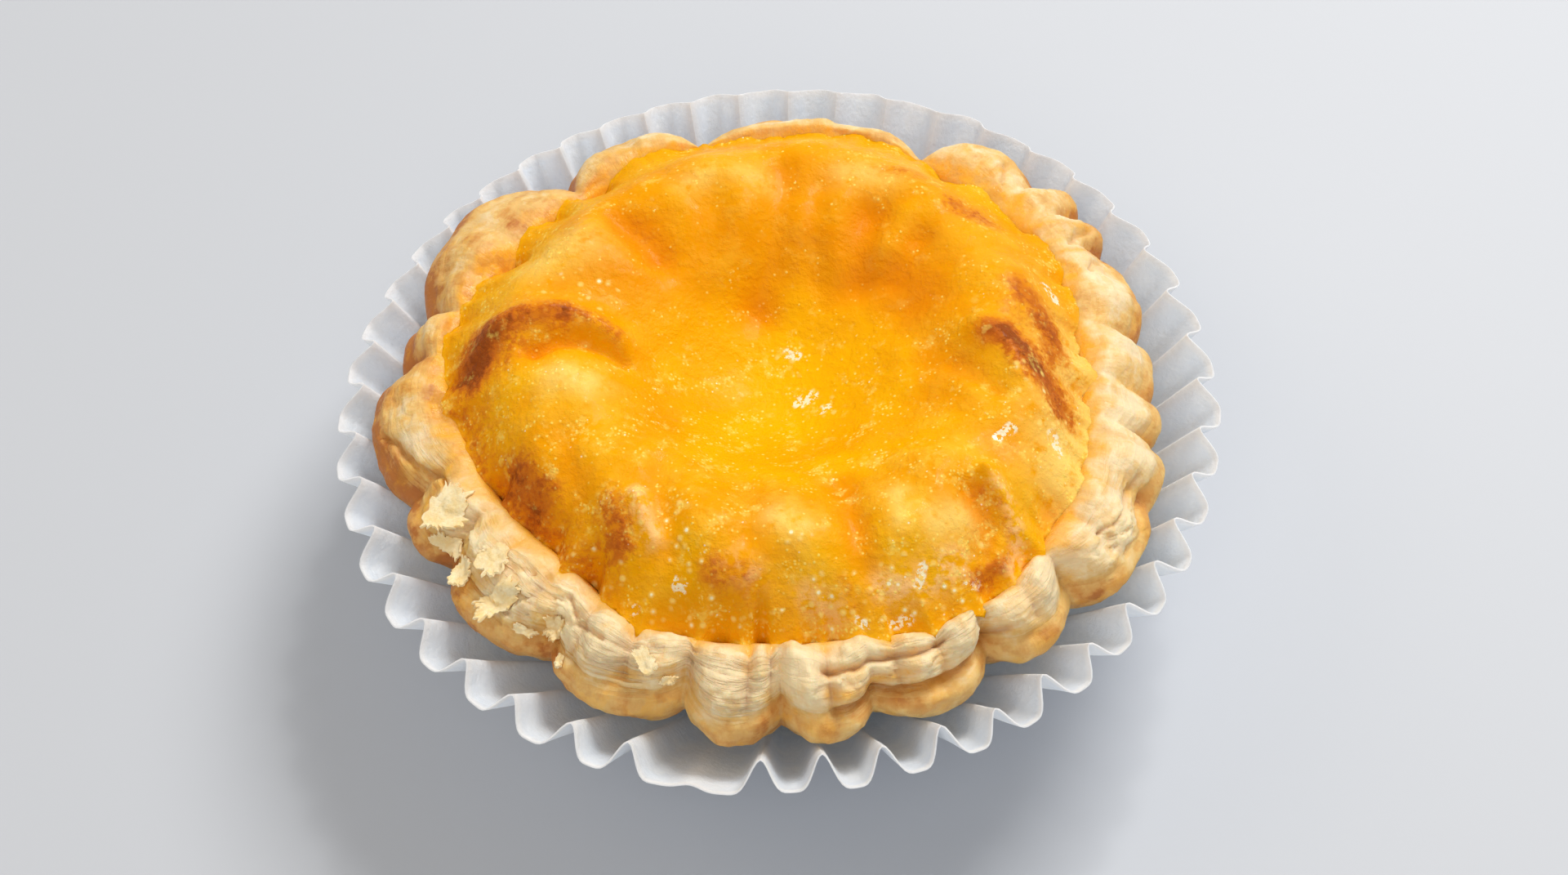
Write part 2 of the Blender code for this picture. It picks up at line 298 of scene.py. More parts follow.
# %% Sizes of the case
PAPER = 0.16
PAPER_MIDDLE = 0.15
CASE_BASE_RADIUS = 25.5
CASE_RIM_RADIUS = 44.9
CASE_RIM_HEIGHT = 23.2
CASE_FLUTES = 46
CASE_FLUTE_DEPTH = 3.2
CASE_FLUTE_FULLNESS = 2.2
CASE_FLUTE_STEPS = 18
CASE_WALL_ROWS = 26
CASE_BASE_ROWS = (0.0, 15.0, 24.0)
CASE_SEED = 46
CASE_DENT_ANGLE = 258.5
CASE_DENT_DEPTH = -0.7
CASE_DOUBLE_FLUTE = 16.0
CASE_DEPTH_SPREAD = 0.15
CASE_JITTER = 0.25
# Slow drifts of the folds round the case: degrees, angle of the peak, number of peaks.
CASE_DRIFTS = ((1.5, 70.0, 2), (0.7, 47.0, 1))
CASE_OVAL = 0.5
CASE_OVAL_ANGLE = 57.0


# %% Where the folds are
def flute_folds():
    """Angle and depth of each inward fold of the wall, in order round the case."""
    rng = random.Random(CASE_SEED)
    pitch = (360 - CASE_DOUBLE_FLUTE) / (CASE_FLUTES - 2)
    folds = [(CASE_DENT_ANGLE, CASE_DENT_DEPTH)]
    for count in range(CASE_FLUTES - 1):
        angle = CASE_DENT_ANGLE + CASE_DOUBLE_FLUTE / 2 + count * pitch
        for drift, peak, peaks in CASE_DRIFTS:
            angle += drift * (wave(angle, peak, peaks) - wave(CASE_DENT_ANGLE, peak, peaks))
        angle += rng.uniform(-CASE_JITTER, CASE_JITTER)
        folds.append((angle, 1 + rng.uniform(-CASE_DEPTH_SPREAD, CASE_DEPTH_SPREAD)))
    folds.append((CASE_DENT_ANGLE + 360, CASE_DENT_DEPTH))
    return np.array(folds)


CASE_FOLDS = flute_folds()
CASE_RUN = CASE_RIM_RADIUS - CASE_BASE_RADIUS
CASE_SLOPE = math.hypot(CASE_RUN, CASE_RIM_HEIGHT)
CASE_INWARD = CASE_RIM_HEIGHT / CASE_SLOPE
CASE_UPWARD = CASE_RUN / CASE_SLOPE
print(len(CASE_FOLDS) - 1, "folds in the paper")

# %% Spin the plain case
CASE_PROFILE = [(radius, 0.0) for radius in CASE_BASE_ROWS] + [
    (CASE_BASE_RADIUS + CASE_RUN * row / CASE_WALL_ROWS, CASE_RIM_HEIGHT * row / CASE_WALL_ROWS)
    for row in range(CASE_WALL_ROWS + 1)
]
CASE_COLUMNS = CASE_FLUTES * CASE_FLUTE_STEPS
paper_case = turn_profile("baking_case", CASE_PROFILE, CASE_COLUMNS)

# %% Where each vertex of the case lies
column, row = places(paper_case, CASE_PROFILE, CASE_COLUMNS)
plain_radius, plain_height = np.array(CASE_PROFILE)[row].T
along = np.clip((plain_radius - CASE_BASE_RADIUS) / CASE_RUN, 0.0, 1.0)
flute, part = np.divmod(column, CASE_FLUTE_STEPS)
share = part / CASE_FLUTE_STEPS
start, end = CASE_FOLDS[flute], CASE_FOLDS[flute + 1]
angle = start[:, 0] + (end[:, 0] - start[:, 0]) * share
x, y = circular(plain_radius, angle)

# %% Press the flutes
CASE_BUCKLE = 0.22
CASE_BUCKLE_SIZE = 7.0
CASE_RIM_WANDER = 0.25
CASE_RIM_WANDER_SIZE = 5.0

nearness = ((1 + np.cos(math.tau * share)) / 2) ** CASE_FLUTE_FULLNESS
fold_depth = np.where(share < 0.5, start[:, 1], end[:, 1])
depth = CASE_FLUTE_DEPTH / 2 * along * (nearness * (fold_depth + 1) - 1)
depth = depth + CASE_BUCKLE * along * lumps(x, y, plain_height / 2, CASE_BUCKLE_SIZE, 2)
rim_wander = CASE_RIM_WANDER * along**4
rim_wander = rim_wander * lumps(x, y, np.zeros(len(x)), CASE_RIM_WANDER_SIZE, 2)
radius = plain_radius + CASE_OVAL * along * wave(angle, CASE_OVAL_ANGLE, 2)
radius = radius - depth * CASE_INWARD + rim_wander * CASE_UPWARD
height = PAPER_MIDDLE + plain_height + depth * CASE_UPWARD + rim_wander * CASE_INWARD
write_points(paper_case, *circular(radius, angle), height)
# Both are kept for the painted light at the rim and on the fold lines.
store(paper_case, "rim", along)
store(paper_case, "fold", nearness * along)

# %% Give the paper its thickness
CASE_SHARP = 50

apply_modifier(paper_case, "SOLIDIFY", thickness=PAPER * MM, offset=0.0)
bpy.ops.object.shade_smooth_by_angle(angle=math.radians(CASE_SHARP))
print("paper case:", len(paper_case.data.polygons), "faces")

# %% [markdown]
# ## The pastry shell
#
# Puff pastry is many thin layers of dough with butter between them. Where a cut edge bakes free,
# the layers spread and lift: here that is the rim. From the inside out, the profile climbs from
# under the custard over a rounded lip, drops over the edge of the upper layers, swells again in the
# golden lobes below and then runs down into the case. The rim is gathered in pleats, and the upper
# layers have narrow ribs of their own.

# %% Sizes of the shell
SHELL_COLUMNS = 760
SHELL_FLOOR = 5.0
SHELL_UNDERSIDE = 0.5
PLEAT_RADIUS = 40.5
FILLING_RADIUS = 32.3
# Stations: radius, height, share in the pleats, share in the custard's outline, row spacing.
SHELL_STATIONS = (
    (0, SHELL_FLOOR, 0, 0, 6), (19.5, SHELL_FLOOR, 0, 0, 3), (24.2, 8.4, 0, 0.3, 3),
    (30.2, 18.6, 0, 0.8, 2), (31.8, 23.4, 0, 1, 0.7), (32.6, 25.6, 0, 1, 0.3),
    (33.6, 27, 0.1, 0.9, 0.26), (35.2, 27.7, 0.4, 0.6, 0.22), (37, 27.1, 0.6, 0.4, 0.2),
    (38.1, 25.9, 0.8, 0.1, 0.2), (39.3, 24.9, 1, 0, 0.2), (PLEAT_RADIUS, 22.9, 1, 0, 0.22),
    (39.9, 20.8, 1, 0, 0.3), (37.4, 18, 0.8, 0, 0.5), (33.4, 13, 0.5, 0, 1.2),
    (28.8, 6.6, 0.2, 0, 2), (24.6, 1.8, 0, 0, 2), (22.4, SHELL_UNDERSIDE, 0, 0, 6),
    (0, SHELL_UNDERSIDE, 0, 0, 6),
)
EDGE_STATION = 5


# %% A smooth profile through the stations
def smooth_profile(stations):
    """Rows on a smooth curve through the stations, as close together as each station asks."""
    stations = [np.array(station) for station in stations]
    rows = []
    for index in range(len(stations) - 1):
        before = stations[max(index - 1, 0)]
        here, there = stations[index], stations[index + 1]
        after = stations[min(index + 2, len(stations) - 1)]
        count = max(1, round(math.dist(here[:2], there[:2]) / here[4]))
        for step in range(count):
            t = step / count
            point = 0.5 * (
                2 * here
                + (there - before) * t
                + (2 * before - 5 * here + 4 * there - after) * t**2
                + (3 * here - before - 3 * there + after) * t**3
            )
            rows.append(point if 2 < index < len(stations) - 4 else here + (there - here) * t)
    return np.array(rows + [stations[-1]])


SHELL_ROWS = smooth_profile(SHELL_STATIONS)
print(len(SHELL_ROWS), "rows along the pastry's profile")

# %% Spin the plain shell
shell_profile = [(row[0], row[1]) for row in SHELL_ROWS.tolist()]
crust = turn_profile("pastry_shell", shell_profile, SHELL_COLUMNS)

# %% [markdown]
# The pleats are read off the photo going round the rim: the angle of every crease, the radius it
# pulls in to, the radius its neighbour swells to, and how much that swelling lifts.

# %% Pleats of the lower lobes and ribs of the upper layers
PLEATS = (
    (8.4, 38.3, 40.8, 0.4), (27, 40, 41.3, 0.7), (34.3, 41, 42.3, 0.8), (42.2, 41.2, 41.5, 1.2),
    (61, 36.8, 38.9, 1.2), (103.4, 36, 40.2, 1.3), (129.2, 37, 42.2, 1.4),
    (164.1, 38.6, 40.2, 0.6), (174.2, 39.5, 41.9, 0.6), (198.3, 39.4, 40.6, 0.2),
    (210.5, 37.8, 40.6, 0.3), (233, 38, 40.5, 0), (254.7, 37.2, 40.9, 0), (269.2, 38, 41, 0),
    (282.5, 38.4, 40.3, 0), (301, 37.3, 40.1, 0), (317, 38, 41.6, 0.2), (337, 40.2, 40.9, 0.2),
    (347.4, 38.1, 39.5, 0), (356.4, 38.2, 39.6, 0),
)
PLEAT_FULLNESS = 2.6
PLEAT_CREASE = 0.9
# Ribs of the upper layers: angle of the groove before each rib, and how far the rib swells.
RIBS = (
    (3, 0.3), (12, 0.3), (21, 0.4), (29, 0.4), (37, 0.4), (47, 0.4), (61, 0.3), (78, 0.3),
    (90, 0.3), (103, 0.3), (116, 0.4), (129, 0.3), (146, 0.4), (156, 0.3), (164, 0.3), (173, 0.4),
    (184, 0.3), (192, 0.3), (201, 0.3), (210, 0.3), (219, 0.3), (228, 0.4), (237.7, 0.7),
    (246, 0.7), (255.5, 0.8), (264.5, 0.46), (267.6, 0.8), (276.2, 0.6), (286.5, 0.6),
    (293.1, 0.6), (301.6, 0.5), (309, 0.4), (316.5, 0.5), (325.5, 0.5), (334, 0.4), (344, 0.4),
    (353, 0.3),
)
RIB_FULLNESS = 2.3
RIB_DEPTH = 2.1
RIB_GROOVE = 0.38


def bulge(table, angle, column, fullness):
    """How full the bulge between two creases is at an angle, and its table value."""
    value, _, share = around(table, angle, column)
    return value, 1 - np.abs(2 * share - 1) ** fullness


# %% The custard's outline, which the shell's inner edge follows
FILLING_OUTLINE = (
    (5, 30.6), (30, 31.8), (50, 32), (75, 33.2), (100, 32.3), (143, 31.5), (173, 33.5),
    (200, 31.3), (225, 30.2), (249, 32.3), (275, 31.9), (301, 34), (328, 32.5), (350, 30.8),
)


def case_limit(height, angle):
    """The largest radius at a height that stays clear of the folds of the case."""
    deepest = (1 + CASE_DEPTH_SPREAD) * CASE_FLUTE_DEPTH / 2
    run = CASE_RUN - deepest * CASE_INWARD + CASE_OVAL * wave(angle, CASE_OVAL_ANGLE, 2)
    rise = (height - PAPER_MIDDLE) / (CASE_RIM_HEIGHT + deepest * CASE_UPWARD)
    return CASE_BASE_RADIUS + run * rise - 2 * PAPER


# %% [markdown]
# Distance over the profile, counted from the custard's edge, says which layers of dough a vertex
# belongs to. It runs over the lip at 3 mm, over the edge of the upper layers at 7 mm, and over the
# fullest part of the lobes at 11 mm. Cracks are drawn as paths of angle and distance.

# %% Distances over the profile, and outward directions
edge_place = np.array(SHELL_STATIONS[EDGE_STATION][:2])
edge_row = int(np.argmin(np.hypot(*(SHELL_ROWS[:, :2] - edge_place).T)))
steps = np.hypot(*np.diff(SHELL_ROWS[:, :2], axis=0).T)
over = np.concatenate(([0.0], np.cumsum(steps)))
over -= over[edge_row]
tangent = np.gradient(SHELL_ROWS[:, :2], axis=0)
tangent /= np.hypot(*tangent.T)[:, None]

column, row = places(crust, shell_profile, SHELL_COLUMNS)
angle = 360 * column / SHELL_COLUMNS
base_radius, base_height, pleat_share, filling_share = SHELL_ROWS[row, :4].T
layer = over[row]

# %% Zones over the profile and round the rim
# Each zone fades in from the first to the second distance, and out from the third to the fourth.
VISIBLE = (-1.5, 0.5, 16.0, 24.0)
UPPER_LAYERS = (0.8, 3.2, 7.4, 9.4)
CUT_EDGE = (2.0, 4.0, 8.0, 11.0)
FRONT = 262.0
FRONT_WIDTH = 62.0


def toward_front(angle):
    """How near an angle is to the front of the tart, from 0 to 1."""
    return hump(turn_from(angle, FRONT), FRONT_WIDTH)


front = toward_front(angle)
upper_layers, cut_edge = zone(layer, UPPER_LAYERS), zone(layer, CUT_EDGE)

# %% Gather the rim in pleats
crease_radius, next_crease, share = around(PLEATS, angle, 1)
crease_radius = crease_radius + (next_crease - crease_radius) * share
bulge_radius, full = bulge(PLEATS, angle, 2, PLEAT_FULLNESS)
lift, _ = bulge(PLEATS, angle, 3, PLEAT_FULLNESS)
pleat_radius = crease_radius + (bulge_radius - crease_radius) * full
exposed = ramp(base_height, 15.0, 19.0)
radius = base_radius + pleat_share * (pleat_radius - PLEAT_RADIUS)
radius = radius + filling_share * (eased_round(FILLING_OUTLINE, angle) - FILLING_RADIUS)
height = base_height + pleat_share * (lift * full - PLEAT_CREASE * (1 - full)) * exposed

# %% Ribs and the overhanging upper layers
LIP = 0.45
LIP_AT = 6.9
LIP_WIDTH = 1.3
NOTCH = 0.75
NOTCH_AT = 9.0
NOTCH_WIDTH = 0.9
RIBS_AT_BACK = 0.4
# How much the upper layers overhang round the rim: angle and share.
OVERHANG = (
    (10, 0.3), (60, 0.2), (120, 0.2), (170, 0.35), (205, 0.5), (240, 0.45), (262, 0.35),
    (274, 0.9), (303, 1), (312, 0.5), (340, 0.35),
)

rib_swell, rib_full = bulge(RIBS, angle, 1, RIB_FULLNESS)
ribs = RIB_DEPTH * (rib_swell * rib_full - RIB_GROOVE) * upper_layers
ribs = ribs * at_least(RIBS_AT_BACK, front)
overhang = eased_round(OVERHANG, angle)
tiers = LIP * hump(layer - LIP_AT, LIP_WIDTH) - NOTCH * hump(layer - NOTCH_AT, NOTCH_WIDTH)

# %% Crags
CRAG, CRAG_SIZE = 0.75, 5.4
CHIP, FRONT_CHIP, CHIP_SIZE = 0.1, 0.2, 1.8
CRUMBLE, CRUMBLE_SIZE = 0.28, 1.3

x, y = circular(radius, angle)
crags = CRAG * lumps(x, y, height, CRAG_SIZE)
crags = crags + (CHIP + FRONT_CHIP * front) * lumps(x, y, height, CHIP_SIZE, 2)
crags = crags + CRUMBLE * front * upper_layers * lumps(x, y, height, CRUMBLE_SIZE, 3)

# %% Leaves of dough, and wrinkles across them
RING_RADIUS = 38.0
LEAF_WARP, LEAF_WARP_SIZE = 0.4, 7.0
LEAF_LENGTH = 9.0
LEAF_PITCH = 0.62
LEAF_SHARPNESS = 3.2
LEAF_GROOVE, LEAVES_AT_BACK = 0.14, 0.25
LEAFY_SIZE, LEAFY_OFFSET = 6.0, 50.0
WRINKLE, WRINKLE_WIDTH, WRINKLE_LENGTH = 0.1, 0.9, 5.0

ring_x, ring_y = circular(RING_RADIUS, angle)
leaf_warp = LEAF_WARP * lumps(ring_x, ring_y, layer, LEAF_WARP_SIZE, 2)
pitches = (layer + leaf_warp) / LEAF_PITCH
leaves = lumps(ring_x / LEAF_LENGTH, ring_y / LEAF_LENGTH, pitches, 1.0)
leaves = smooth(1 - np.abs(leaves) * LEAF_SHARPNESS)
leafy = smooth(0.5 + 1.4 * lumps(ring_x, ring_y, layer + LEAFY_OFFSET, LEAFY_SIZE, 2))
leaf_grooves = leaves * leafy * cut_edge * at_least(LEAVES_AT_BACK, front)
wrinkles = lumps(ring_x / WRINKLE_WIDTH, ring_y / WRINKLE_WIDTH, layer / WRINKLE_LENGTH, 1.0)

# %% Plates that came loose
# Angle, distance over the profile, reach each way, height.
ROUGH_PATCHES = (
    (212, 7, 9, 3.5, 0.4), (230, 6.5, 9, 3.5, 0.45), (285, 6.5, 22, 3, 0.3), (329, 7, 9, 3, 0.4),
    (350, 6, 14, 4.5, 0.12), (30, 6, 22, 5, 0.15), (188, 7, 10, 4, 0.15),
)
PLATE_SIZE, SMALL_PLATE_SIZE = 2.3, 1.1
roughness = np.zeros(len(angle))
for middle, over_middle, reach, over_reach, amount in ROUGH_PATCHES:
    patch = amount * hump(turn_from(angle, middle), reach) * hump(layer - over_middle, over_reach)
    roughness = np.maximum(roughness, patch)
flaked = plates(x, y, height * 1.4, PLATE_SIZE)
flaked = flaked + 0.5 * plates(x + 40, y, height * 2.0, SMALL_PLATE_SIZE)

# %% Cracks between the layers
# Depth, half width, and the angle and distance over the profile of each point.
CRACKS = (
    (1, 0.35, ((275.5, 4.9), (281, 5.4), (286, 5), (291, 4.7), (294, 4.4))),
    (1.1, 0.5, ((277, 8.9), (284, 8.6), (292, 8.9), (300, 8.4), (304, 7.6))),
    (0.8, 0.3, ((188, 8.8), (190.5, 7.6), (195, 7), (199.5, 5.6), (202.5, 5.2))),
    (0.5, 0.3, ((325, 5.4), (328.7, 6.3), (332, 6.6), (335, 6.9), (338.5, 7.2))),
    (0.4, 0.3, ((331, 9.4), (334, 8.8), (337.5, 8.9))),
    (0.5, 0.3, ((45, 4), (46.5, 5.6), (47.5, 7))),
    (0.6, 0.35, ((27.5, 4.6), (29, 6.5), (29.5, 8.2))),
    (0.5, 0.3, ((20.5, 5), (22.5, 6.3), (23, 8))), (0.5, 0.3, ((233, 4.2), (237, 5.3), (242, 5))),
    (0.5, 0.3, ((212, 7.8), (218, 8.4), (226, 8))),
)
CRACK_WANDER, CRACK_WANDER_SIZE = 0.35, 1.5
ARC = RING_RADIUS * math.pi / 180


def on_rim(paths):
    """Paths of angle and distance over the profile, with the angles turned into millimetres."""
    return [
        (strength, half_width, [(turn * ARC, over_it) for turn, over_it in path])
        for strength, half_width, path in paths
    ]


crack_wander = CRACK_WANDER * lumps(ring_x, ring_y, layer, CRACK_WANDER_SIZE)
cracks = drawn(on_rim(CRACKS), angle * ARC, layer + crack_wander)

# %% Move the pastry's vertices
# Plates stand out or lie deeper than this share of their height.
PLATE_MIDDLE = 0.6
# Under the custard's edge the pastry stays low, so that it never comes through.
COVERED_TO, COVERED_LIFT = 0.3, 0.2
IN_CASE_FROM = 8
ON_AXIS = 0.01

outward = crags + ribs + overhang * tiers + WRINKLE * wrinkles * upper_layers
outward = outward - LEAF_GROOVE * leaf_grooves - cracks + roughness * (flaked - PLATE_MIDDLE)
outward = outward * zone(layer, VISIBLE) * np.clip(pleat_share * 6, 0.35, 1.0)
outward = np.where(layer < COVERED_TO, np.minimum(outward, COVERED_LIFT), outward)
radius = radius - tangent[row, 1] * outward
height = height + tangent[row, 0] * outward
in_case = np.minimum(radius, case_limit(height, angle))
radius = np.where(layer > IN_CASE_FROM, in_case, radius)
radius = np.where(base_radius < ON_AXIS, 0.0, radius)
x, y = circular(radius, angle)
write_points(crust, x, y, height)

# %% [markdown]
# Colour follows the baking. Thin free edges and high places toast first, the pressed lower lobes
# are an even gold, the layers that opened late stay cream, and the pleats' creases are darker.
# Painted shade darkens the cracks, the grooves between ribs and leaves, the butter runs and the
# notch under the overhang, and painted light makes the rib tops at the front and patches on top of
# the rim paler. These amounts are kept on the vertices, and the material mixes them with finer
# unevenness.

# %% How golden the pastry is, and where butter ran
# Round the rim: angle and amount.
GOLDEN = (
    (10, 0.14), (47, 0.28), (90, 0.32), (140, 0.44), (185, 0.52), (207, 0.26), (230, 0.2),
    (262, 0.08), (300, 0.06), (330, 0.05), (350, 0.08),
)
# Where butter ran out of the filling: strength, half width, angle and distance of each point.
BUTTER_RUNS = (
    (1, 0.9, ((195, 1.5), (198, 3.5), (200.5, 6), (202.6, 8.5))),
    (1, 0.5, ((50, 1.5), (47.5, 4), (47, 6))), (1, 0.5, ((33, 2), (31, 5), (30.3, 8.4))),
    (1, 0.5, ((26, 2), (24.8, 5), (24.4, 8.6))), (1, 1.4, ((318, 1), (319.5, 4.2))),
    (1, 0.6, ((276, 7), (282, 7.6), (288, 6.8))),
)

# %% How toasted
TOAST_LEAST = 0.1
TOAST_LOBES = 0.24
TOAST_MOTTLE, TOAST_MOTTLE_SIZE = 0.2, 6.0
NOTCH_TOAST_AND_SHADE = 0.2
DARKER_CREASES = 0.2
PALE_PLATES = 0.16
PALE_TOP = 0.12
LIT_RIB_TOPS = 0.22

toast = TOAST_LEAST + eased_round(GOLDEN, angle) + TOAST_LOBES * ramp(layer, 7.5, 10.5)
toast = toast + TOAST_MOTTLE * lumps(x, y, height, TOAST_MOTTLE_SIZE, 3)
# Painted shade in the notch under the overhanging layers, together with their toasting.
toast = toast + NOTCH_TOAST_AND_SHADE * hump(layer - 9.2, 1.2) * overhang
toast = toast + DARKER_CREASES * (1 - full) * ramp(layer, 4.0, 7.0)
toast = toast - PALE_PLATES * smooth(roughness * 2) - PALE_TOP * hump(layer - 5.5, 2.5)
# Painted highlight: the rib tops at the front are made paler.
toast = toast - LIT_RIB_TOPS * front * rib_full * hump(layer - 3.6, 2.4)

# %% How buttery, and the painted shade in cracks, grooves and butter runs
BUTTER_SIZE = 2.4
RUN_BUTTER, RUN_SHADE = 0.8, 0.5
RIB_SHADE, LEAF_SHADE = 0.6, 0.35

butter = smooth((4.0 - layer) / 2.0 + 1.1 * lumps(x, y, height, BUTTER_SIZE, 3))
butter = butter * ramp(layer, -3.0, -1.0) * (1 - 0.75 * front * rib_full * ramp(layer, 0.6, 1.8))
runs = drawn(on_rim(BUTTER_RUNS), angle * ARC, layer)
# Painted shade: the cracks, the grooves between ribs and between leaves, and the butter runs are
# darkened in the colour.
rib_grooves = RIB_SHADE * (1 - rib_full) ** 2 * upper_layers * at_least(0.3, front)
shaded_creases = cracks + LEAF_SHADE * leaf_grooves + rib_grooves + RUN_SHADE * runs
PASTRY_AMOUNTS = {
    "toast": np.clip(toast, 0.0, 1.2),
    # Painted light: patches on the top of the rim, which faces up to the lamps, are made paler.
    "dry_skin_and_lit_top": hump(layer - 5.2, 3.4) * ramp(radius, 34.0, 37.0),
    "crease_shade": np.clip(shaded_creases, 0.0, 1.0),
    "butter": np.maximum(butter, RUN_BUTTER * runs),
    "leafy": cut_edge * at_least(0.15, front) * at_least(0.4, leafy),
}
for name, amount in PASTRY_AMOUNTS.items():
    store(crust, name, amount)
store(crust, "layers", ring_x * MM, ring_y * MM, (layer + leaf_warp) * MM)
select_only(crust)
bpy.ops.object.shade_smooth()
print("pastry shell:", len(crust.data.polygons), "faces,", round(float(height.max()), 1), "mm high")

# %% [markdown]
# The custard has to meet the pastry without a gap, and flakes have to lie on it. Both need to know
# where its surface is, so the finished vertices of the rim are kept as a grid of columns and rows.

# %% The rim's surface as a grid
GRID_FROM, GRID_TO = -2.5, 14.0
LIP_TOP = 3.0

on_top = (layer > GRID_FROM) & (layer < GRID_TO)
order = np.lexsort((row[on_top], column[on_top]))
RIM = np.column_stack((x, y, height))[on_top][order].reshape(SHELL_COLUMNS, -1, 3)
RIM_LAYERS = layer[on_top][order][: RIM.shape[1]]
print("rim grid of", RIM.shape[0], "columns and", RIM.shape[1], "rows")


def on_pastry(angle, over_it):
    """The point of the pastry's surface at an angle and a distance over the profile."""
    column = angle / 360 * SHELL_COLUMNS
    first = math.floor(column)
    share = column - first
    line = RIM[first % SHELL_COLUMNS] * (1 - share) + RIM[(first + 1) % SHELL_COLUMNS] * share
    return Vector([float(np.interp(over_it, RIM_LAYERS, line[:, axis])) for axis in range(3)])


def lip_heights(wanted, angle, x, y):
    """Height of the lip's inner side at each wanted point; the others get one far below."""
    heights = np.full(len(x), -100.0)
    for place in np.flatnonzero(wanted):
        column = round(float(angle[place]) / 360 * SHELL_COLUMNS) % SHELL_COLUMNS
        line = RIM[column][RIM_LAYERS < LIP_TOP]
        reach = np.maximum.accumulate(np.hypot(line[:, 0], line[:, 1]))
        heights[place] = np.interp(np.hypot(x[place], y[place]), reach, line[:, 2])
    return heights


# %% [markdown]
# ## The custard
#
# An egg custard that bakes hot rises like a pancake at its rim and sinks again in the middle as it
# cools. Its skin is left too large for it and wrinkles: folds run down into the hollow at the back,
# and a few ridges stand up and brown. The form is a spun disc whose height comes from the distance
# to the outline, with the folds added along paths seen from above.

# %% Sizes of the custard
CUSTARD_COLUMNS = 640
CUSTARD_ROWS = 112
CUSTARD_CREST = 0.73
CUSTARD_CREST_HEIGHT = 32.6
CUSTARD_DIP_HEIGHT = 23.6
CUSTARD_DIP = (-0.4, -0.6)
CUSTARD_EDGE_LIFT = -0.5
CUSTARD_EDGE_EVENED = 4
SWELL, SWELL_SIZE = 0.6, 11.0
# How far the custard's edge reaches over the outline, and how much that wanders.
OVERLAP = 1.5
OVERLAP_WANDER, OVERLAP_WANDER_SIZE = 1.5, 3.4
OVERLAP_BETWEEN_RIBS = 1.3
# Near its edge the custard is a thin film on the pastry that ends tucked into it.
FILM_STARTS = 0.86
FILM_THICKNESS = 0.3
FILM_TUCK = 0.12
FILM_FILLET = 0.6
# Lift, half width and path of every fold, seen from above.
SKIN_FOLDS = (
    (1.6, 1.9, ((-31, 0.6), (-29.2, 2.4), (-25.2, 3.4), (-21.5, 3.8), (-18.6, 3), (-16, 1.6))),
    (-1.3, 1, ((-24.5, -0.6), (-22.4, 0.5), (-20, 0.9), (-18.1, 0.2), (-15.9, -0.7))),
    (0.8, 3, ((-21.5, -4.6), (-18.6, -5))),
    (-1.5, 2.1, ((-16.6, 17.6), (-14.2, 15.4), (-12.4, 13))),
    (0.8, 3, ((-20, 12.6), (-15, 10.2))),
    (-1, 2.2, ((1.4, 23.4), (1.1, 19.7), (0.2, 15.3), (-0.9, 12.1), (-2, 9.4))),
    (0.9, 2.5, ((-3.2, 21.6), (-3.4, 17), (-5.2, 12))),
    (-0.8, 1.9, ((5.4, 20.6), (4.6, 17.6), (4.3, 13.8), (5, 9))),
    (0.6, 1.8, ((2.8, 18.6), (2.2, 14))), (-1.5, 2.9, ((10.4, 16.8), (8.8, 13.4), (8.8, 10.4))),
    (0.6, 2.2, ((6.8, 19), (6.4, 13.4))), (-0.8, 1.6, ((15.4, 13.6), (12.6, 9.6))),
    (0.7, 2.2, ((13.4, 16.8), (11.6, 13.2))),
    (1.2, 1.8, ((20.4, 0.2), (22.6, -1.6), (25.4, -7), (26.4, -9.6))),
    (-0.8, 1.4, ((18.4, -3.4), (21.6, -7.6))), (0.9, 2, ((26.5, 8), (28.5, 1.5))),
    (1.4, 1, ((20, -17.6), (21.4, -20.4), (21.9, -22.8), (21, -25.8), (18.5, -27.6))),
    (-1.5, 1.5, ((18.2, -19.6), (19.4, -22.4), (19.2, -25))),
    (0.9, 2.8, ((15, -15.4), (15.4, -19))), (0.9, 2.8, ((11, -21), (12, -24.5))),
    (-0.9, 1.7, ((5.6, -17.6), (6.8, -23.2), (7.8, -27.4))),
    (0.9, 3, ((1.4, -20.4), (1.6, -24.4))), (-0.6, 1.5, ((-3.4, -18), (-3.2, -24.5))),
    (0.9, 2.8, ((-8.3, -19.6), (-8, -23))), (0.6, 2, ((-6.6, -28.2), (-4.4, -29))),
    (-0.6, 1.6, ((-12, -15), (-10.8, -25))),
    (0.9, 1.1, ((-13.7, -19.4), (-12.9, -22), (-12.2, -24))),
    (0.5, 2.2, ((-16.2, -21), (-15.6, -23.6))), (0.7, 2.6, ((-25, -14.6), (-23.4, -17.2))),
    (-0.6, 1.8, ((-21, -12), (-19.4, -18.4))),
)
# Radius and height of the hidden side and floor, from the edge down.
HIDDEN_SIDE = (
    (32.3, 25), (30, 19.2), (23.9, 8.8), (19.2, 5.4), (0, 5.4),
)

DISC_HEIGHT = 30.0

# %% Spin the plain disc, with its side hidden in the shell
CUSTARD_PROFILE = [
    (FILLING_RADIUS * row / CUSTARD_ROWS, DISC_HEIGHT) for row in range(CUSTARD_ROWS + 1)
]
CUSTARD_PROFILE.extend(HIDDEN_SIDE)
custard = turn_profile("custard_filling", CUSTARD_PROFILE, CUSTARD_COLUMNS)
column, row = places(custard, CUSTARD_PROFILE, CUSTARD_COLUMNS)
angle = 360 * column / CUSTARD_COLUMNS
plain_radius, plain_height = np.array(CUSTARD_PROFILE)[row].T
skin = row <= CUSTARD_ROWS
share = np.where(skin, row / CUSTARD_ROWS, 1.0)

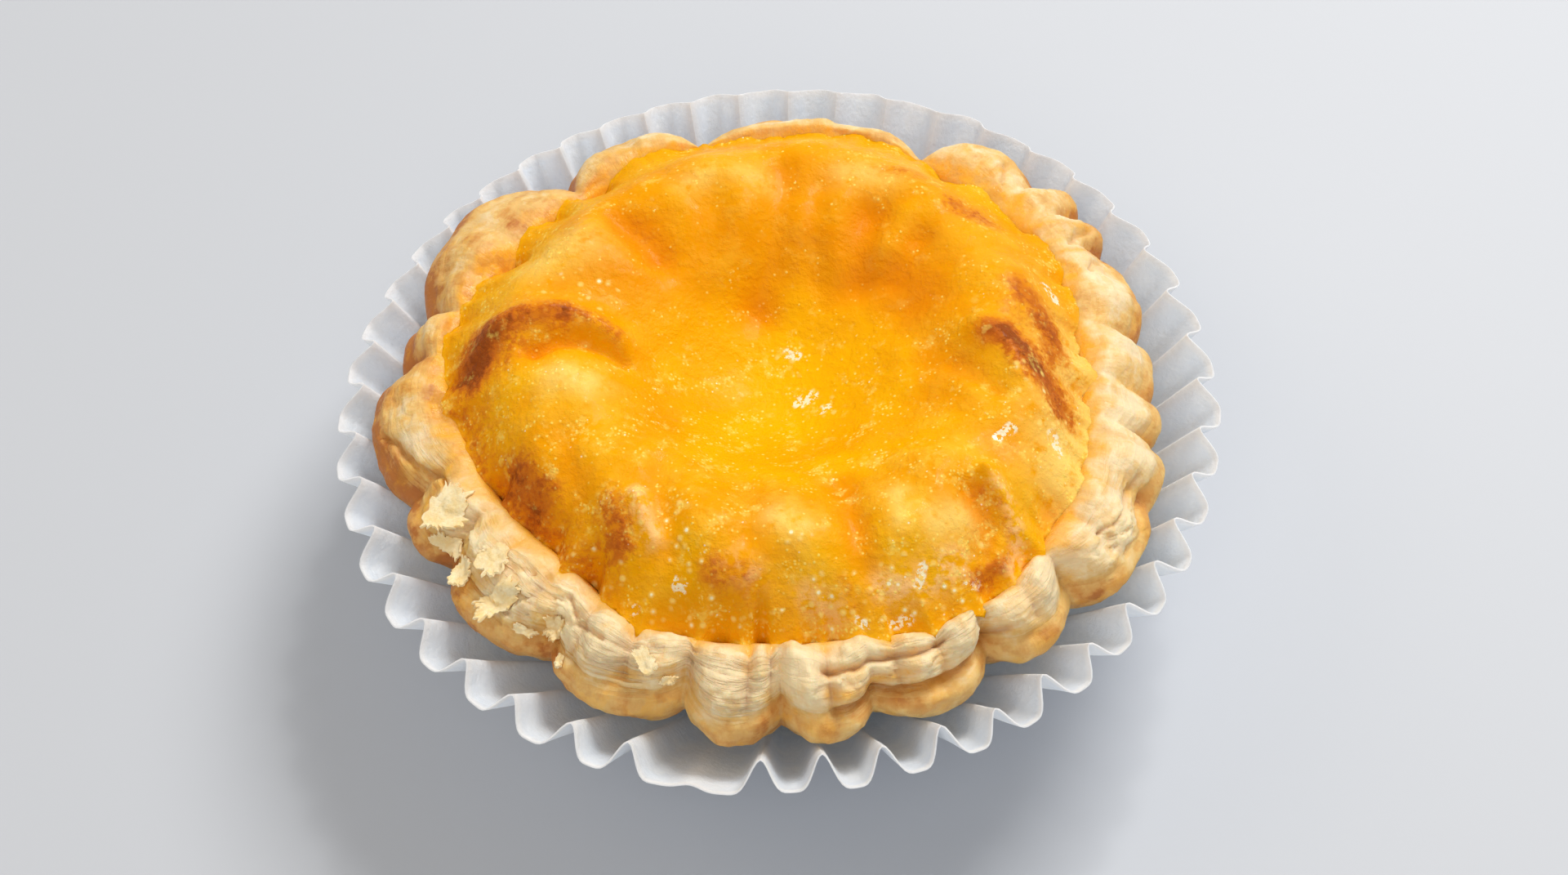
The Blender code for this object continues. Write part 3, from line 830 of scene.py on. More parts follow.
# %% Spread the disc to the custard's outline
ring_x, ring_y = circular(FILLING_RADIUS, angle)
flat = np.zeros(len(angle))
_, rib_full = bulge(RIBS, angle, 1, RIB_FULLNESS)
wander = OVERLAP_WANDER * lumps(ring_x, ring_y, flat, OVERLAP_WANDER_SIZE, 3)
wander = wander - OVERLAP_BETWEEN_RIBS * toward_front(angle) * (rib_full - 0.4)
outline = eased_round(FILLING_OUTLINE, angle)
edge_x, edge_y = circular(outline + (OVERLAP + wander * ramp(share, 0.84, 1.0)) * skin, angle)
x = CUSTARD_DIP[0] + (edge_x - CUSTARD_DIP[0]) * share
y = CUSTARD_DIP[1] + (edge_y - CUSTARD_DIP[1]) * share

# %% Let the edge follow the lip
at_edge = row == CUSTARD_ROWS
edge_heights = np.zeros(CUSTARD_COLUMNS)
edge_heights[column[at_edge]] = lip_heights(at_edge, angle, edge_x, edge_y)[at_edge]
edge_heights = edge_heights + CUSTARD_EDGE_LIFT
shifts = range(-CUSTARD_EDGE_EVENED, CUSTARD_EDGE_EVENED + 1)
edge_heights = np.mean([np.roll(edge_heights, shift) for shift in shifts], axis=0)
even_height = float(edge_heights.mean())
print("the custard meets the pastry", round(even_height, 1), "mm up")

# %% Raise the ring and sink the middle
fall = np.clip((share - CUSTARD_CREST) / (1 - CUSTARD_CREST), 0.0, 1.0)
fade = 0.65 * (1 - fall * fall) + 0.35 * (1 + np.cos(math.pi * fall)) / 2
rise = (1 - np.cos(math.pi * np.clip(share / CUSTARD_CREST, 0.0, 1.0))) / 2
edge_height = even_height + (edge_heights[column] - even_height) * ramp(fall, 0.6, 1.0)
outer_slope = edge_height + (CUSTARD_CREST_HEIGHT - edge_height) * fade
inner_slope = CUSTARD_DIP_HEIGHT + (CUSTARD_CREST_HEIGHT - CUSTARD_DIP_HEIGHT) * rise
smooth_height = np.where(share > CUSTARD_CREST, outer_slope, inner_slope)

# %% Fold and wrinkle the skin
# Wrinkles: height, offset of the noise, size, octaves.
WRINKLES = ((0.6, 33.0, 7.5, 1), (0.42, 9.0, 3.8, 1), (0.07, 20.0, 1.3, 2))
WRINKLES_IN_DIP = 0.35

height = smooth_height + fade * SWELL * lumps(x, y, flat, SWELL_SIZE)
for fold_lift, half_width, path in SKIN_FOLDS:
    height = height + fade * fold_lift * hump(path_distance(x, y, path), half_width)
for wrinkle, offset, size, octaves in WRINKLES:
    wrinkled = wrinkle * lumps(x, y, flat + offset, size, octaves)
    height = height + wrinkled * fade * at_least(WRINKLES_IN_DIP, ramp(share, 0.0, 0.45))
relief = height - smooth_height

# %% Lay the custard's edge on the pastry
film = np.clip((share - FILM_STARTS) / (1 - FILM_STARTS), 0.0, 1.0)
film_height = lip_heights(skin & (film > 0), angle, x, y)
film_height = film_height + FILM_THICKNESS * (1 - film**2) - FILM_TUCK
blend = np.clip(0.5 + 0.5 * (film_height - height) / FILM_FILLET, 0.0, 1.0)
height = height + (film_height - height) * blend + FILM_FILLET * blend * (1 - blend)

# %% Set the hidden side and floor, and write the custard
hidden_share = np.clip((plain_height - 8.0) / 17.0, 0.0, 1.0)
hidden_x, hidden_y = circular(plain_radius + hidden_share * (outline - FILLING_RADIUS), angle)
x = np.where(skin, x, hidden_x)
y = np.where(skin, y, hidden_y)
height = np.where(skin, height, plain_height)
write_points(custard, x, y, height)

# %% [markdown]
# The browned places sit on what stood highest in the oven. Each is drawn as a path with a strength
# and a width, and the material later breaks its edge up with noise so that none looks painted on.

# %% Browned places
BROWNED = (
    (1, 2.7, ((-31, -0.9), (-30.2, 0.9), (-29.4, 1.8))),
    (0.7, 1.9, ((-30, 1.2), (-27.5, 2.4), (-24.6, 3), (-21.5, 3.4))),
    (0.5, 1.5, ((-21.5, 3.6), (-18.7, 3.1), (-16.4, 1.8))),
    (0.45, 2.6, ((-29.5, -1.6), (-26.5, -0.4))), (0.74, 2.6, ((-26, -14.4), (-23.6, -17.4))),
    (0.62, 2, ((-16.4, -19.6), (-15.2, -23.4))), (0.46, 2.3, ((-6.4, -27.6), (-3.8, -28.6))),
    (0.34, 1, ((5.6, -28.6), (6.8, -30.8))),
    (0.42, 0.9, ((19.4, -19.4), (21.2, -20.8), (21.9, -23.2), (21.4, -25.2))),
    (0.36, 1.3, ((18.4, -19.8), (19.6, -22.4), (19.8, -25))),
    (0.72, 1.1, ((20.8, -25.8), (18, -27.6))), (0.95, 1.9, ((21.6, -0.9), (23, -1.4))),
    (0.84, 2.2, ((24.4, -2.8), (25.8, -5))), (0.78, 2, ((26.6, -5.6), (28.2, -8.6))),
    (0.68, 2, ((25, 5.8), (27.2, 3), (28.3, -1.4))), (0.32, 4, ((24, 3), (27, -2), (28.6, -7))),
    (0.62, 2, ((22.8, 16.4), (19.4, 18))), (0.42, 1.8, ((15.4, 22.2), (12.2, 23.2))),
    (0.34, 2.2, ((-16, 17.6), (-13.4, 15.8))),
    (0.44, 4.6, ((-32.5, -5), (-29.5, -12), (-25, -19), (-18, -25))),
    (0.12, 3, ((-12, -28), (0, -30.5), (12, -30))),
)
browning = np.zeros(len(x))
for strength, half_width, path in BROWNED:
    spot = strength * hump(path_distance(x, y, path), half_width)
    browning = np.maximum(browning, spot) + 0.25 * np.minimum(browning, spot)

# %% Pinkish places, pale dried places, drops, and flecks of painted glint
BLUSHED = (
    (0.9, 1.2, ((9.2, -29), (11.6, -28.8))), (0.9, 1.4, ((13.2, -28.4), (16.4, -26.6))),
    (0.8, 1, ((-13.9, -19.2), (-12.9, -22), (-12.1, -23.9))),
    (0.4, 1.4, ((-4.4, -27), (-3, -28))), (0.6, 1.3, ((2.4, -29.6), (4.8, -31))),
    (0.85, 0.8, ((20.8, -18.8), (22.4, -21.4), (22.6, -24), (21.8, -26.2))),
)
PALE = (
    (0.9, 4, ((28.4, -15.6), (29.6, -8), (29.8, 0))), (0.7, 2, ((-21.6, -5), (-19, -5.4))),
    (0.7, 1.6, ((-0.4, -22.6), (1.4, -24))), (0.6, 1.2, ((11.2, -20.6), (11.4, -23.6))),
    (0.7, 1.8, ((14.6, -23.6), (17, -22.6))), (0.4, 1.7, ((-9, 21.8), (-6.6, 22.6))),
    (0.4, 1.6, ((-3.6, 22.8), (-0.8, 21.8))), (0.5, 2, ((8, 23), (12.4, 22.2))),
    (0.5, 2.6, ((-24.6, 11), (-20, 13))),
)
# Where syrup and egg dried in drops that catch the light; some middles get a painted glint.
DROPS = (
    (0.9, 1.8, ((-11, -21.6), (-9, -25.6))), (0.8, 1.3, ((0.6, -25.4), (2.6, -29), (4.8, -31.6))),
    (0.9, 1.8, ((8.8, -28.6), (13, -28.8), (17.4, -26))),
    (0.6, 1.3, ((-23.5, -20.5), (-18, -25), (-12, -29.5), (0, -31.6), (10, -32), (18, -29))),
    (0.7, 1.8, ((25.6, -6), (27.6, -12))), (0.7, 1.2, ((1.6, 3.9), (2.7, -1.8), (4.7, -3.7))),
    (0.5, 2, ((-22, 8), (-18, 7))),
)
# Flecks of painted glint where the skin is wet, the brightest places.
GLINT_FLECKS = (
    (1, 0.45, ((1.1, 4.2), (2.1, 3.8))), (1, 0.65, ((2.2, -2), (3.4, -1.5))),
    (0.9, 0.4, ((4.4, -3.9), (5.1, -3.5))), (0.9, 0.5, ((21.3, -13.3), (22.8, -12.2))),
    (1, 0.5, ((28.2, 7.7), (29.1, 6.5))), (0.8, 0.6, ((27, -12), (27.4, -13.4))),
    (0.9, 0.5, ((-10.1, -27.9), (-9.5, -28.2))), (0.8, 0.35, ((-14.3, -29.2), (-13.9, -29.2))),
    (1, 0.35, ((13.2, -27.3), (12.6, -28.9))), (0.8, 0.35, ((10, -31.5), (11.8, -31.1))),
    (0.8, 0.35, ((6.9, -31.6), (7.5, -31.9))), (0.8, 0.4, ((17.4, -28.4), (18.4, -27.8))),
)

# %% Keep what the skin is like at every vertex, and where light and shade are painted
HOLLOW_FROM, HOLLOW_TO = 18.0, 3.0
BACK_WALL_AT, BACK_WALL_WIDTH = 0.5, 0.22
SUNKEN_BY, RAISED_BY = 1.3, 1.5

from_dip = np.hypot(x - CUSTARD_DIP[0], y - CUSTARD_DIP[1])
# Painted shade: the back wall of the hollow faces away from the key lamp and is coloured darker
# orange.
back_wall = hump(share - BACK_WALL_AT, BACK_WALL_WIDTH) * ramp(y, -4.0, 10.0)
# Amber towards the edge: painted shade on the outer slope, which faces away from the key lamp, and
# the edge's own deeper colour; less on the lit right side.
edge = ramp(share, 0.87, 1.0) * (1 - 0.7 * ramp(x, 14.0, 24.0))
CUSTARD_AMOUNTS = {
    "browning": np.clip(browning, 0.0, 1.2),
    # Painted shade: dents are coloured deeper orange, partly the deeper colour of thicker custard.
    "sunken": skin * np.clip(-relief / SUNKEN_BY, 0.0, 1.0),
    "raised": skin * np.clip(relief / RAISED_BY, 0.0, 1.0),
    # Painted light: the middle of the hollow is coloured brighter yellow.
    "hollow": skin * ramp(from_dip, HOLLOW_FROM, HOLLOW_TO),
    "back_wall": skin * back_wall,
    "edge": np.where(skin, edge, 1.0),
    "blush": drawn(BLUSHED, x, y),
    "pale": drawn(PALE, x, y),
    "drops": drawn(DROPS, x, y),
    "glint_flecks": drawn(GLINT_FLECKS, x, y),
}
for name, amount in CUSTARD_AMOUNTS.items():
    store(custard, name, amount)
select_only(custard)
bpy.ops.object.shade_smooth()
print("custard:", len(custard.data.polygons), "faces,", round(float(height.max()), 1), "mm high")

# %% [markdown]
# ## Loose flakes and crumbs
#
# At the front left the top leaves of dough broke off and lie on the rim with one end curled up.
# Each flake starts as a plane that is subdivided and pulled to a torn outline. It is laid on the
# pastry by looking up the surface below every vertex, and Solidify gives it the thickness of a leaf
# of dough.

# %% Flakes: angle, distance over the profile, length, width, turn, lift of the free end
FLAKES = (
    (206.4, 6, 5.6, 3.6, 52, 0.5), (209.6, 8.8, 3, 2, 20, 0.3), (219.2, 5.4, 3.6, 2.9, 22, 1),
    (215.8, 8.6, 2.9, 2.2, 60, 0.5), (223.9, 7.7, 4.5, 2.4, 106, 1),
    (232.9, 7.8, 2.9, 1.7, 84, 0.7), (229.2, 9, 2, 0.9, 24, 0.3), (249.4, 5.8, 3.4, 1.6, 40, 0.4),
    (252.5, 7.9, 1.1, 0.9, 30, 0.4), (236.4, 9.6, 1, 0.8, 70, 0.3),
)
FLAKE_CUTS = 18
FLAKE_THICKNESS = 0.24
FLAKE_CLEARANCE = 0.25
FLAKE_REACH = 1.5
FLAKE_LEVELLED = 1.2
# How deep and how fine the outline is torn, and how high and how fine a flake is wrinkled.
FLAKE_TORN = ((0.3, 1.4), (0.34, 6.5))
FLAKE_WRINKLE, FLAKE_WRINKLE_PITCH = 0.08, 1.2
FLAKE_SHARP = 40


# %% Where one flake's vertices go
def flake_frame(angle, over_it):
    """The middle of a flake on the pastry, and the direction that its top faces."""
    step = FLAKE_REACH / ARC
    round_it = on_pastry(angle + step, over_it) - on_pastry(angle - step, over_it)
    over = on_pastry(angle, over_it + FLAKE_REACH) - on_pastry(angle, over_it - FLAKE_REACH)
    outward = over.cross(round_it).normalized() + Vector((0.0, 0.0, FLAKE_LEVELLED))
    return on_pastry(angle, over_it), outward.normalized()


def torn_size(u, v, number):
    """How much a place on the square plane is pulled in to make a torn, rounded outline."""
    square = max(abs(u), abs(v))
    round_off = square / max(math.hypot(u, v), 1e-6)
    heading = Vector((u, v, 0.0)).normalized() if square else Vector()
    heading.z = number * 3.1
    torn = sum(amount * noise.noise(heading * pitch) for amount, pitch in FLAKE_TORN)
    return (0.45 + 0.55 * round_off) * (1 + torn * square)


# %% Make one flake
def make_flake(number, settings):
    """A leaf of pastry with a torn outline, laid on the rim."""
    angle, over_it, length, width, turn, lift = settings
    flake = add_plane(f"flake_{number}")
    edit_all(bpy.ops.mesh.subdivide, number_cuts=FLAKE_CUTS)
    middle, outward = flake_frame(angle, over_it)
    turned_to = Matrix.Rotation(math.radians(turn), 2)
    for vertex in flake.data.vertices:
        u, v = vertex.co.x / MM * 2, vertex.co.y / MM * 2
        size = torn_size(u, v, number)
        place = turned_to @ Vector((u * length / 2 * size, v * width / 2 * size))
        below = on_pastry(angle + place.x / ARC, over_it + place.y)
        depth = (below - middle).dot(outward)
        wrinkle = noise.noise(Vector((u, v, number)) * FLAKE_WRINKLE_PITCH)
        curl = lift * max(u, 0.0) ** 2 + FLAKE_WRINKLE * wrinkle
        rise = FLAKE_CLEARANCE + max(curl, depth)
        vertex.co = (below + outward * (rise - depth)) * MM
    apply_modifier(flake, "SOLIDIFY", thickness=FLAKE_THICKNESS * MM, offset=0.0)
    return flake


flakes = [make_flake(number, settings) for number, settings in enumerate(FLAKES)]

# %% Join the flakes
select_only(*flakes)
bpy.ops.object.join()
loose_flakes = bpy.context.object
loose_flakes.name = "loose_flakes"
bpy.ops.object.shade_smooth_by_angle(angle=math.radians(FLAKE_SHARP))
print(len(FLAKES), "flakes,", len(loose_flakes.data.polygons), "faces")

# %% [markdown]
# ## Colours and finishes
#
# Food is never one colour. Each finish below starts from two or three colours that it really shows,
# mixed by noise at the size of its own lumps, and then the amounts kept on the vertices bring in
# what baking did at each place, and some painted light and shade. Small helpers keep the node trees
# short to read.


# %% Colours, and values for sockets
def rgb(red, green, blue):
    """A colour as it looks on a screen, from 0 to 255, in the linear light of the shaders."""
    channels = [channel / 255 for channel in (red, green, blue)]
    linear = [c / 12.92 if c <= 0.04045 else ((c + 0.055) / 1.055) ** 2.4 for c in channels]
    return (*linear, 1.0)


def fill(tree, node, inputs):
    """Link or set a node's inputs, given by name or by number."""
    for key, value in inputs.items():
        if isinstance(value, bpy.types.NodeSocket):
            tree.links.new(value, node.inputs[key])
        else:
            node.inputs[key].default_value = value


# %% Short ways to build a node tree
class Nodes:
    """A node tree, with a short way to add each kind of node that the finishes need."""

    def __init__(self, tree):
        self.tree = tree

    def add(self, kind, inputs, **settings):
        """A shader node of a kind with its settings and inputs."""
        node = self.tree.nodes.new("ShaderNode" + kind)
        for name, value in settings.items():
            setattr(node, name, value)
        fill(self.tree, node, inputs)
        return node

    def math(self, operation, *inputs, clamp=False):
        """A calculation with sockets or numbers."""
        node = self.add("Math", {}, operation=operation, use_clamp=clamp)
        fill(self.tree, node, dict(enumerate(inputs)))
        return node.outputs[0]

    def times(self, first, second):
        """Two values multiplied."""
        return self.math("MULTIPLY", first, second)

    def plus(self, value, *others):
        """A value with others added, each times a weight."""
        for other, weight in others:
            value = self.math("MULTIPLY_ADD", other, weight, value)
        return value

    def spread(self, value, low, high, to_low=0.0, to_high=1.0):
        """A value between low and high, eased onto another range."""
        inputs = dict(enumerate((value, low, high, to_low, to_high)))
        return self.add("MapRange", inputs, interpolation_type="SMOOTHSTEP").outputs[0]

    def mix(self, amount, first, second):
        """Two colours mixed by an amount."""
        return self.add("Mix", {0: amount, 6: first, 7: second}, data_type="RGBA").outputs[2]

    def laid_over(self, colour, *layers):
        """A colour with others laid over it, each as strong as its amount times a weight."""
        for amount, weight, over in layers:
            colour = self.mix(self.times(amount, weight), colour, over)
        return colour


# %% A shared group: unevenness at a size in millimetres
def make_unevenness():
    """Noise at a size in millimetres, eased between two limits into an amount from 0 to 1."""
    group = bpy.data.node_groups.new("unevenness", "ShaderNodeTree")
    group.interface.new_socket("Vector", in_out="INPUT", socket_type="NodeSocketVector")
    for name in ("Size", "Detail", "Low", "High"):
        group.interface.new_socket(name, in_out="INPUT", socket_type="NodeSocketFloat")
    group.interface.new_socket("Amount", in_out="OUTPUT", socket_type="NodeSocketFloat")
    nodes = Nodes(group)
    given = group.nodes.new("NodeGroupInput").outputs
    scale = nodes.math("DIVIDE", 1 / MM, given["Size"])
    cloud = {"Vector": given["Vector"], "Scale": scale, "Detail": given["Detail"], "Roughness": 0.6}
    cloud = nodes.add("TexNoise", cloud).outputs["Fac"]
    amount = nodes.spread(cloud, given["Low"], given["High"])
    group.links.new(amount, group.nodes.new("NodeGroupOutput").inputs["Amount"])
    return group


UNEVENNESS = make_unevenness()


# %% A finish: a material that is built from unevenness and the kept amounts
class Finish(Nodes):
    """A new material with its object coordinates."""

    def __init__(self, name):
        self.material = bpy.data.materials.new(name)
        self.material.use_nodes = True
        super().__init__(self.material.node_tree)
        self.at = self.add("TexCoord", {}).outputs["Object"]

    def stored(self, *names):
        """Amounts that the vertices keep."""
        return [self.add("Attribute", {}, attribute_name=name).outputs["Fac"] for name in names]

    def uneven(self, size, detail, low, high, at=None):
        """The unevenness group, at a size in millimetres."""
        inputs = {"Vector": at or self.at, "Size": size, "Detail": detail, "Low": low, "High": high}
        return self.add("Group", inputs, node_tree=UNEVENNESS).outputs["Amount"]

    def colours(self, value, stops):
        """Colours along a value."""
        node = self.add("ValToRGB", {0: value})
        elements = node.color_ramp.elements
        while len(elements) < len(stops):
            elements.new(0.5)
        for element, (position, colour) in zip(elements, stops):
            element.position = position
            element.color = colour
        return node.outputs[0]

    def done(self, relief, distance, **inputs):
        """The material, its shader filled in, with fine relief of a height in millimetres."""
        relief = {"Strength": 1.0, "Distance": distance * MM, "Height": relief}
        shader = {name.replace("_", " "): value for name, value in inputs.items()}
        shader["Normal"] = self.add("Bump", relief).outputs[0]
        fill(self.tree, self.tree.nodes["Principled BSDF"], shader)
        return self.material


# %% [markdown]
# ### Custard skin
#
# Set egg yolk is a deep, clear yellow. Painted shade makes it darker orange on the back wall of the
# hollow and in the dents, where the thicker custard is also deeper in colour, and amber towards the
# edge, where its own colour is deeper too; painted light makes the middle of the hollow brighter.
# The skin over it dried paler in patches, carries tiny grains of set egg that catch the light, and
# browned through orange to a dark red-brown. It shines most on grains, drops and flecks, so the
# coat follows them, and painted glints are laid on them.

# %% Custard colours
YOLK = rgb(243, 174, 0)
# Painted light for the middle of the hollow.
YOLK_PAINTED_LIGHT = rgb(248, 186, 0)
# Deep yolk, also used for painted shade on the back wall and in the dents.
YOLK_DEEP = rgb(232, 134, 0)
# Amber for the edge, partly painted shade.
AMBER = rgb(240, 164, 8)
SKIN_PALE = rgb(250, 208, 74)
SKIN_MILKY = rgb(255, 216, 116)
SKIN_BLUSH = rgb(255, 200, 134)
GRAIN_PALE = rgb(255, 228, 112)
# Painted highlight for glints.
PAINTED_GLINT = rgb(255, 252, 222)
BROWNS = (
    (0.2, rgb(234, 148, 10)),
    (0.48, rgb(216, 124, 22)),
    (0.72, rgb(190, 98, 24)),
    (0.95, rgb(152, 74, 20)),
)
# Sizes of grains, drops and glints.
GRAIN_SIZE, DROP_SIZE, GLINT_SIZE = 0.42, 0.95, 0.52


# %% Yolk under a skin that dried and browned
def skin_colour(skin, mottle, fine, browning, back_wall):
    """The colour of the custard's skin, without its grains and glints."""
    hollow, sunken, raised, edge, pale, blush = skin.stored(
        "hollow", "sunken", "raised", "edge", "pale", "blush"
    )
    skinned = skin.plus(0.3, (raised, 0.5))
    dry_skin_and_lit_top = skin.times(mottle, skin.math("SUBTRACT", skinned, hollow, clamp=True))
    # Painted shade: the back wall and the dents deeper orange, the edge amber; painted light: the
    # middle of the hollow brighter yellow.
    colour = skin.laid_over(
        YOLK,
        (skin.uneven(8.0, 2.0, 0.32, 0.68), 0.45, YOLK_DEEP),
        (dry_skin_and_lit_top, 0.5, SKIN_PALE),
        (back_wall, 0.5, YOLK_DEEP),
        (hollow, 0.8, YOLK_PAINTED_LIGHT),
        (sunken, 0.78, YOLK_DEEP),
        (edge, skin.spread(mottle, 0.0, 1.0, 0.85, 0.45), AMBER),
        (pale, skin.uneven(1.6, 5.0, 0.26, 0.54), SKIN_MILKY),
    )
    rough_brown = skin.times(browning, skin.spread(mottle, 0.0, 1.0, 0.8, 1.14))
    speckle = skin.times(skin.math("SUBTRACT", fine, 0.5), 0.14)
    burnt = skin.plus(rough_brown, (speckle, skin.spread(browning, 0.1, 0.5)))
    patchy = skin.times(blush, skin.uneven(1.3, 4.0, 0.4, 0.58))
    colour = skin.mix(skin.spread(burnt, 0.05, 0.6), colour, skin.colours(burnt, BROWNS))
    return skin.laid_over(colour, (patchy, 0.9, SKIN_BLUSH))


# %% Grains, drops and glints
def scattered(skin, size, chance):
    """Small round grains, each there or not by chance, and the middles of some, for painted glints.
    """
    cells = skin.add("TexVoronoi", {"Vector": skin.at, "Scale": 1 / (size * MM), "Randomness": 1.0})
    split = skin.add("SeparateColor", {0: cells.outputs["Color"]}).outputs
    distance = cells.outputs["Distance"]
    there = skin.spread(skin.math("ADD", split[0], chance), 0.98, 1.12)
    grain = skin.times(skin.spread(distance, 0.5, 0.14), there)
    middle = skin.times(skin.spread(distance, 0.26, 0.12), there)
    return grain, skin.times(middle, skin.spread(split[1], 0.55, 0.65))


def custard_finish():
    """Glossy egg custard with a mottled, browned skin."""
    skin = Finish("custard_skin")
    browning, back_wall, drops, glint_flecks = skin.stored("browning", "back_wall", "drops", "glint_flecks")
    mottle = skin.uneven(2.8, 5.0, 0.42, 0.66)
    fine = skin.uneven(0.7, 4.0, 0.35, 0.68)
    colour = skin_colour(skin, mottle, fine, browning, back_wall)
    clear = skin.math("SUBTRACT", 0.75, skin.times(browning, 0.7), clamp=True)
    # Fewer pale grains and curds on the back wall of the hollow, where shade is painted.
    off_back_wall = skin.math("SUBTRACT", 1.0, skin.times(back_wall, 0.8))
    clusters = skin.times(skin.uneven(2.6, 5.0, 0.5, 0.66), off_back_wall)
    curds = skin.times(clusters, skin.uneven(0.9, 5.0, 0.46, 0.6))
    chance = skin.plus(skin.times(off_back_wall, 0.12), (clusters, 0.55))
    grain, _ = scattered(skin, GRAIN_SIZE, chance)
    drop, core = scattered(skin, DROP_SIZE, skin.times(drops, 0.9))
    sparse, bright = scattered(skin, GLINT_SIZE, skin.times(chance, 0.6))
    torn = skin.times(glint_flecks, skin.uneven(0.5, 3.0, 0.46, 0.56))
    # Painted glints: near-white spots on some grains, on the middles of drops and on the flecks,
    # where the coat also shines.
    glint = skin.math("MAXIMUM", skin.times(bright, sparse), core)
    glint = skin.math("MAXIMUM", glint, skin.spread(torn, 0.1, 0.42))
    colour = skin.laid_over(
        colour,
        (curds, 0.38, GRAIN_PALE),
        (grain, clear, GRAIN_PALE),
        (drop, 0.75, SKIN_MILKY),
        (glint, clear, PAINTED_GLINT),
    )
    rough_burnt = skin.times(fine, browning)
    relief = skin.times(fine, 0.32)
    relief = skin.plus(relief, (grain, 0.3), (mottle, 0.55), (drop, 0.25), (rough_burnt, 0.4))
    return skin.done(
        relief,
        0.1,
        Base_Color=colour,
        Roughness=skin.spread(fine, 0.0, 1.0, 0.3, 0.5),
        Coat_Weight=skin.plus(0.04, (glint, 0.9)),
        Coat_Roughness=0.08,
        Specular_IOR_Level=0.05,
        Subsurface_Weight=0.2,
        Subsurface_Radius=(1.0, 0.42, 0.1),
        Subsurface_Scale=1.6 * MM,
    )


# %% [markdown]
# ### Baked pastry
#
# Cream where the leaves of dough opened late, gold on the smooth lobes, orange-brown in the creases
# and where butter pooled, and painted shade in the cracks and grooves. The fine lines of the leaves
# follow the rim, so their noise is read along the layers that the vertices keep, and not straight
# across the shape.

# %% Pastry colours
PASTRY_CREAM = rgb(246, 224, 178)
PASTRY_GOLD = rgb(234, 192, 116)
PASTRY_TOASTED = rgb(216, 156, 80)
PASTRY_DARK = rgb(190, 118, 52)
BUTTER = rgb(244, 178, 44)
TOASTING = (
    (0.15, PASTRY_CREAM),
    (0.55, PASTRY_GOLD),
    (0.85, PASTRY_TOASTED),
    (1.0, PASTRY_DARK),
)


# %% Pastry finish
def leaf_lines(pastry, squash_round, squash_over):
    """A vector for noise that is drawn out along the layers of the dough, or across them."""
    layers = pastry.add("Attribute", {}, attribute_name="layers").outputs["Vector"]
    squash = (squash_round, squash_round, squash_over)
    return pastry.add("Mapping", {"Vector": layers, "Scale": squash}).outputs[0]


def pastry_finish():
    """Flaky, unevenly toasted puff pastry."""
    pastry = Finish("baked_pastry")
    toast, crease_shade, butter, leafy, dry_skin_and_lit_top = pastry.stored("toast", "crease_shade", "butter", "leafy", "dry_skin_and_lit_top")
    mottle = pastry.uneven(2.0, 6.0, 0.42, 0.6)
    fine = pastry.uneven(0.6, 5.0, 0.3, 0.7)
    leaves = pastry.uneven(0.8, 4.0, 0.43, 0.57, leaf_lines(pastry, 0.14, 1.7))
    leaves = pastry.times(leaves, pastry.times(leafy, 1.3))
    streaks = pastry.uneven(1.0, 4.0, 0.35, 0.65, leaf_lines(pastry, 1.2, 0.2))
    # Painted light: paler patches on the top of the rim.
    dry_skin_and_lit_top = pastry.times(dry_skin_and_lit_top, pastry.uneven(4.2, 5.0, 0.46, 0.56))
    broad = pastry.uneven(5.0, 5.0, 0.36, 0.64)
    amount = pastry.plus(toast, (broad, 0.22), (mottle, 0.2), (dry_skin_and_lit_top, -0.24), (leaves, -0.3))
    colour = pastry.colours(pastry.plus(amount, (streaks, 0.04)), TOASTING)
    smeared = pastry.spread(pastry.uneven(3.6, 5.0, 0.5, 0.62), 0.0, 1.0, 0.0, 0.34)
    smeared = pastry.math("MAXIMUM", butter, smeared)
    uneven_butter = pastry.spread(mottle, 0.0, 1.0, 0.95, 0.5)
    # Painted shade: cracks and grooves are darkened towards the dark pastry colour.
    layers = ((crease_shade, 0.5, PASTRY_DARK), (smeared, uneven_butter, BUTTER))
    return pastry.done(
        pastry.plus(pastry.times(fine, 0.3), (leaves, 0.7), (streaks, 0.25)),
        0.13,
        Base_Color=pastry.laid_over(colour, *layers),
        Roughness=pastry.plus(pastry.spread(fine, 0.0, 1.0, 0.42, 0.62), (butter, -0.25)),
        Coat_Weight=0.05,
        Coat_Roughness=0.3,
        Specular_IOR_Level=0.3,
        Subsurface_Weight=0.3,
        Subsurface_Radius=(1.0, 0.55, 0.25),
        Subsurface_Scale=1.8 * MM,
    )


# %% [markdown]
# ### Flakes and paper
#
# The loose flakes are the palest pastry: dried leaves of dough, toasted only in spots. The paper is
# thin and cool white. Light comes through it, most of all at the rim, so the rim gets a painted
# glow and the fold lines a painted highlight, while the flutes between are softly grey. Pressing
# left faint fibres and creases in it.

# %% Flake finish
FLAKE_CREAM = rgb(255, 236, 192)
FLAKE_GOLD = rgb(252, 220, 158)


def flake_finish():
    """Dry, pale leaves of pastry."""
    flake = Finish("pastry_flake")
    fine = flake.uneven(0.4, 4.0, 0.3, 0.7)
    colour = flake.mix(flake.uneven(1.2, 5.0, 0.35, 0.65), FLAKE_CREAM, FLAKE_GOLD)
    return flake.done(
        fine,
        0.04,
        Base_Color=flake.laid_over(colour, (fine, 0.3, PASTRY_GOLD)),
        Roughness=flake.spread(fine, 0.0, 1.0, 0.45, 0.65),
        Subsurface_Weight=0.2,
        Subsurface_Radius=(1.0, 0.7, 0.4),
        Subsurface_Scale=0.8 * MM,
    )


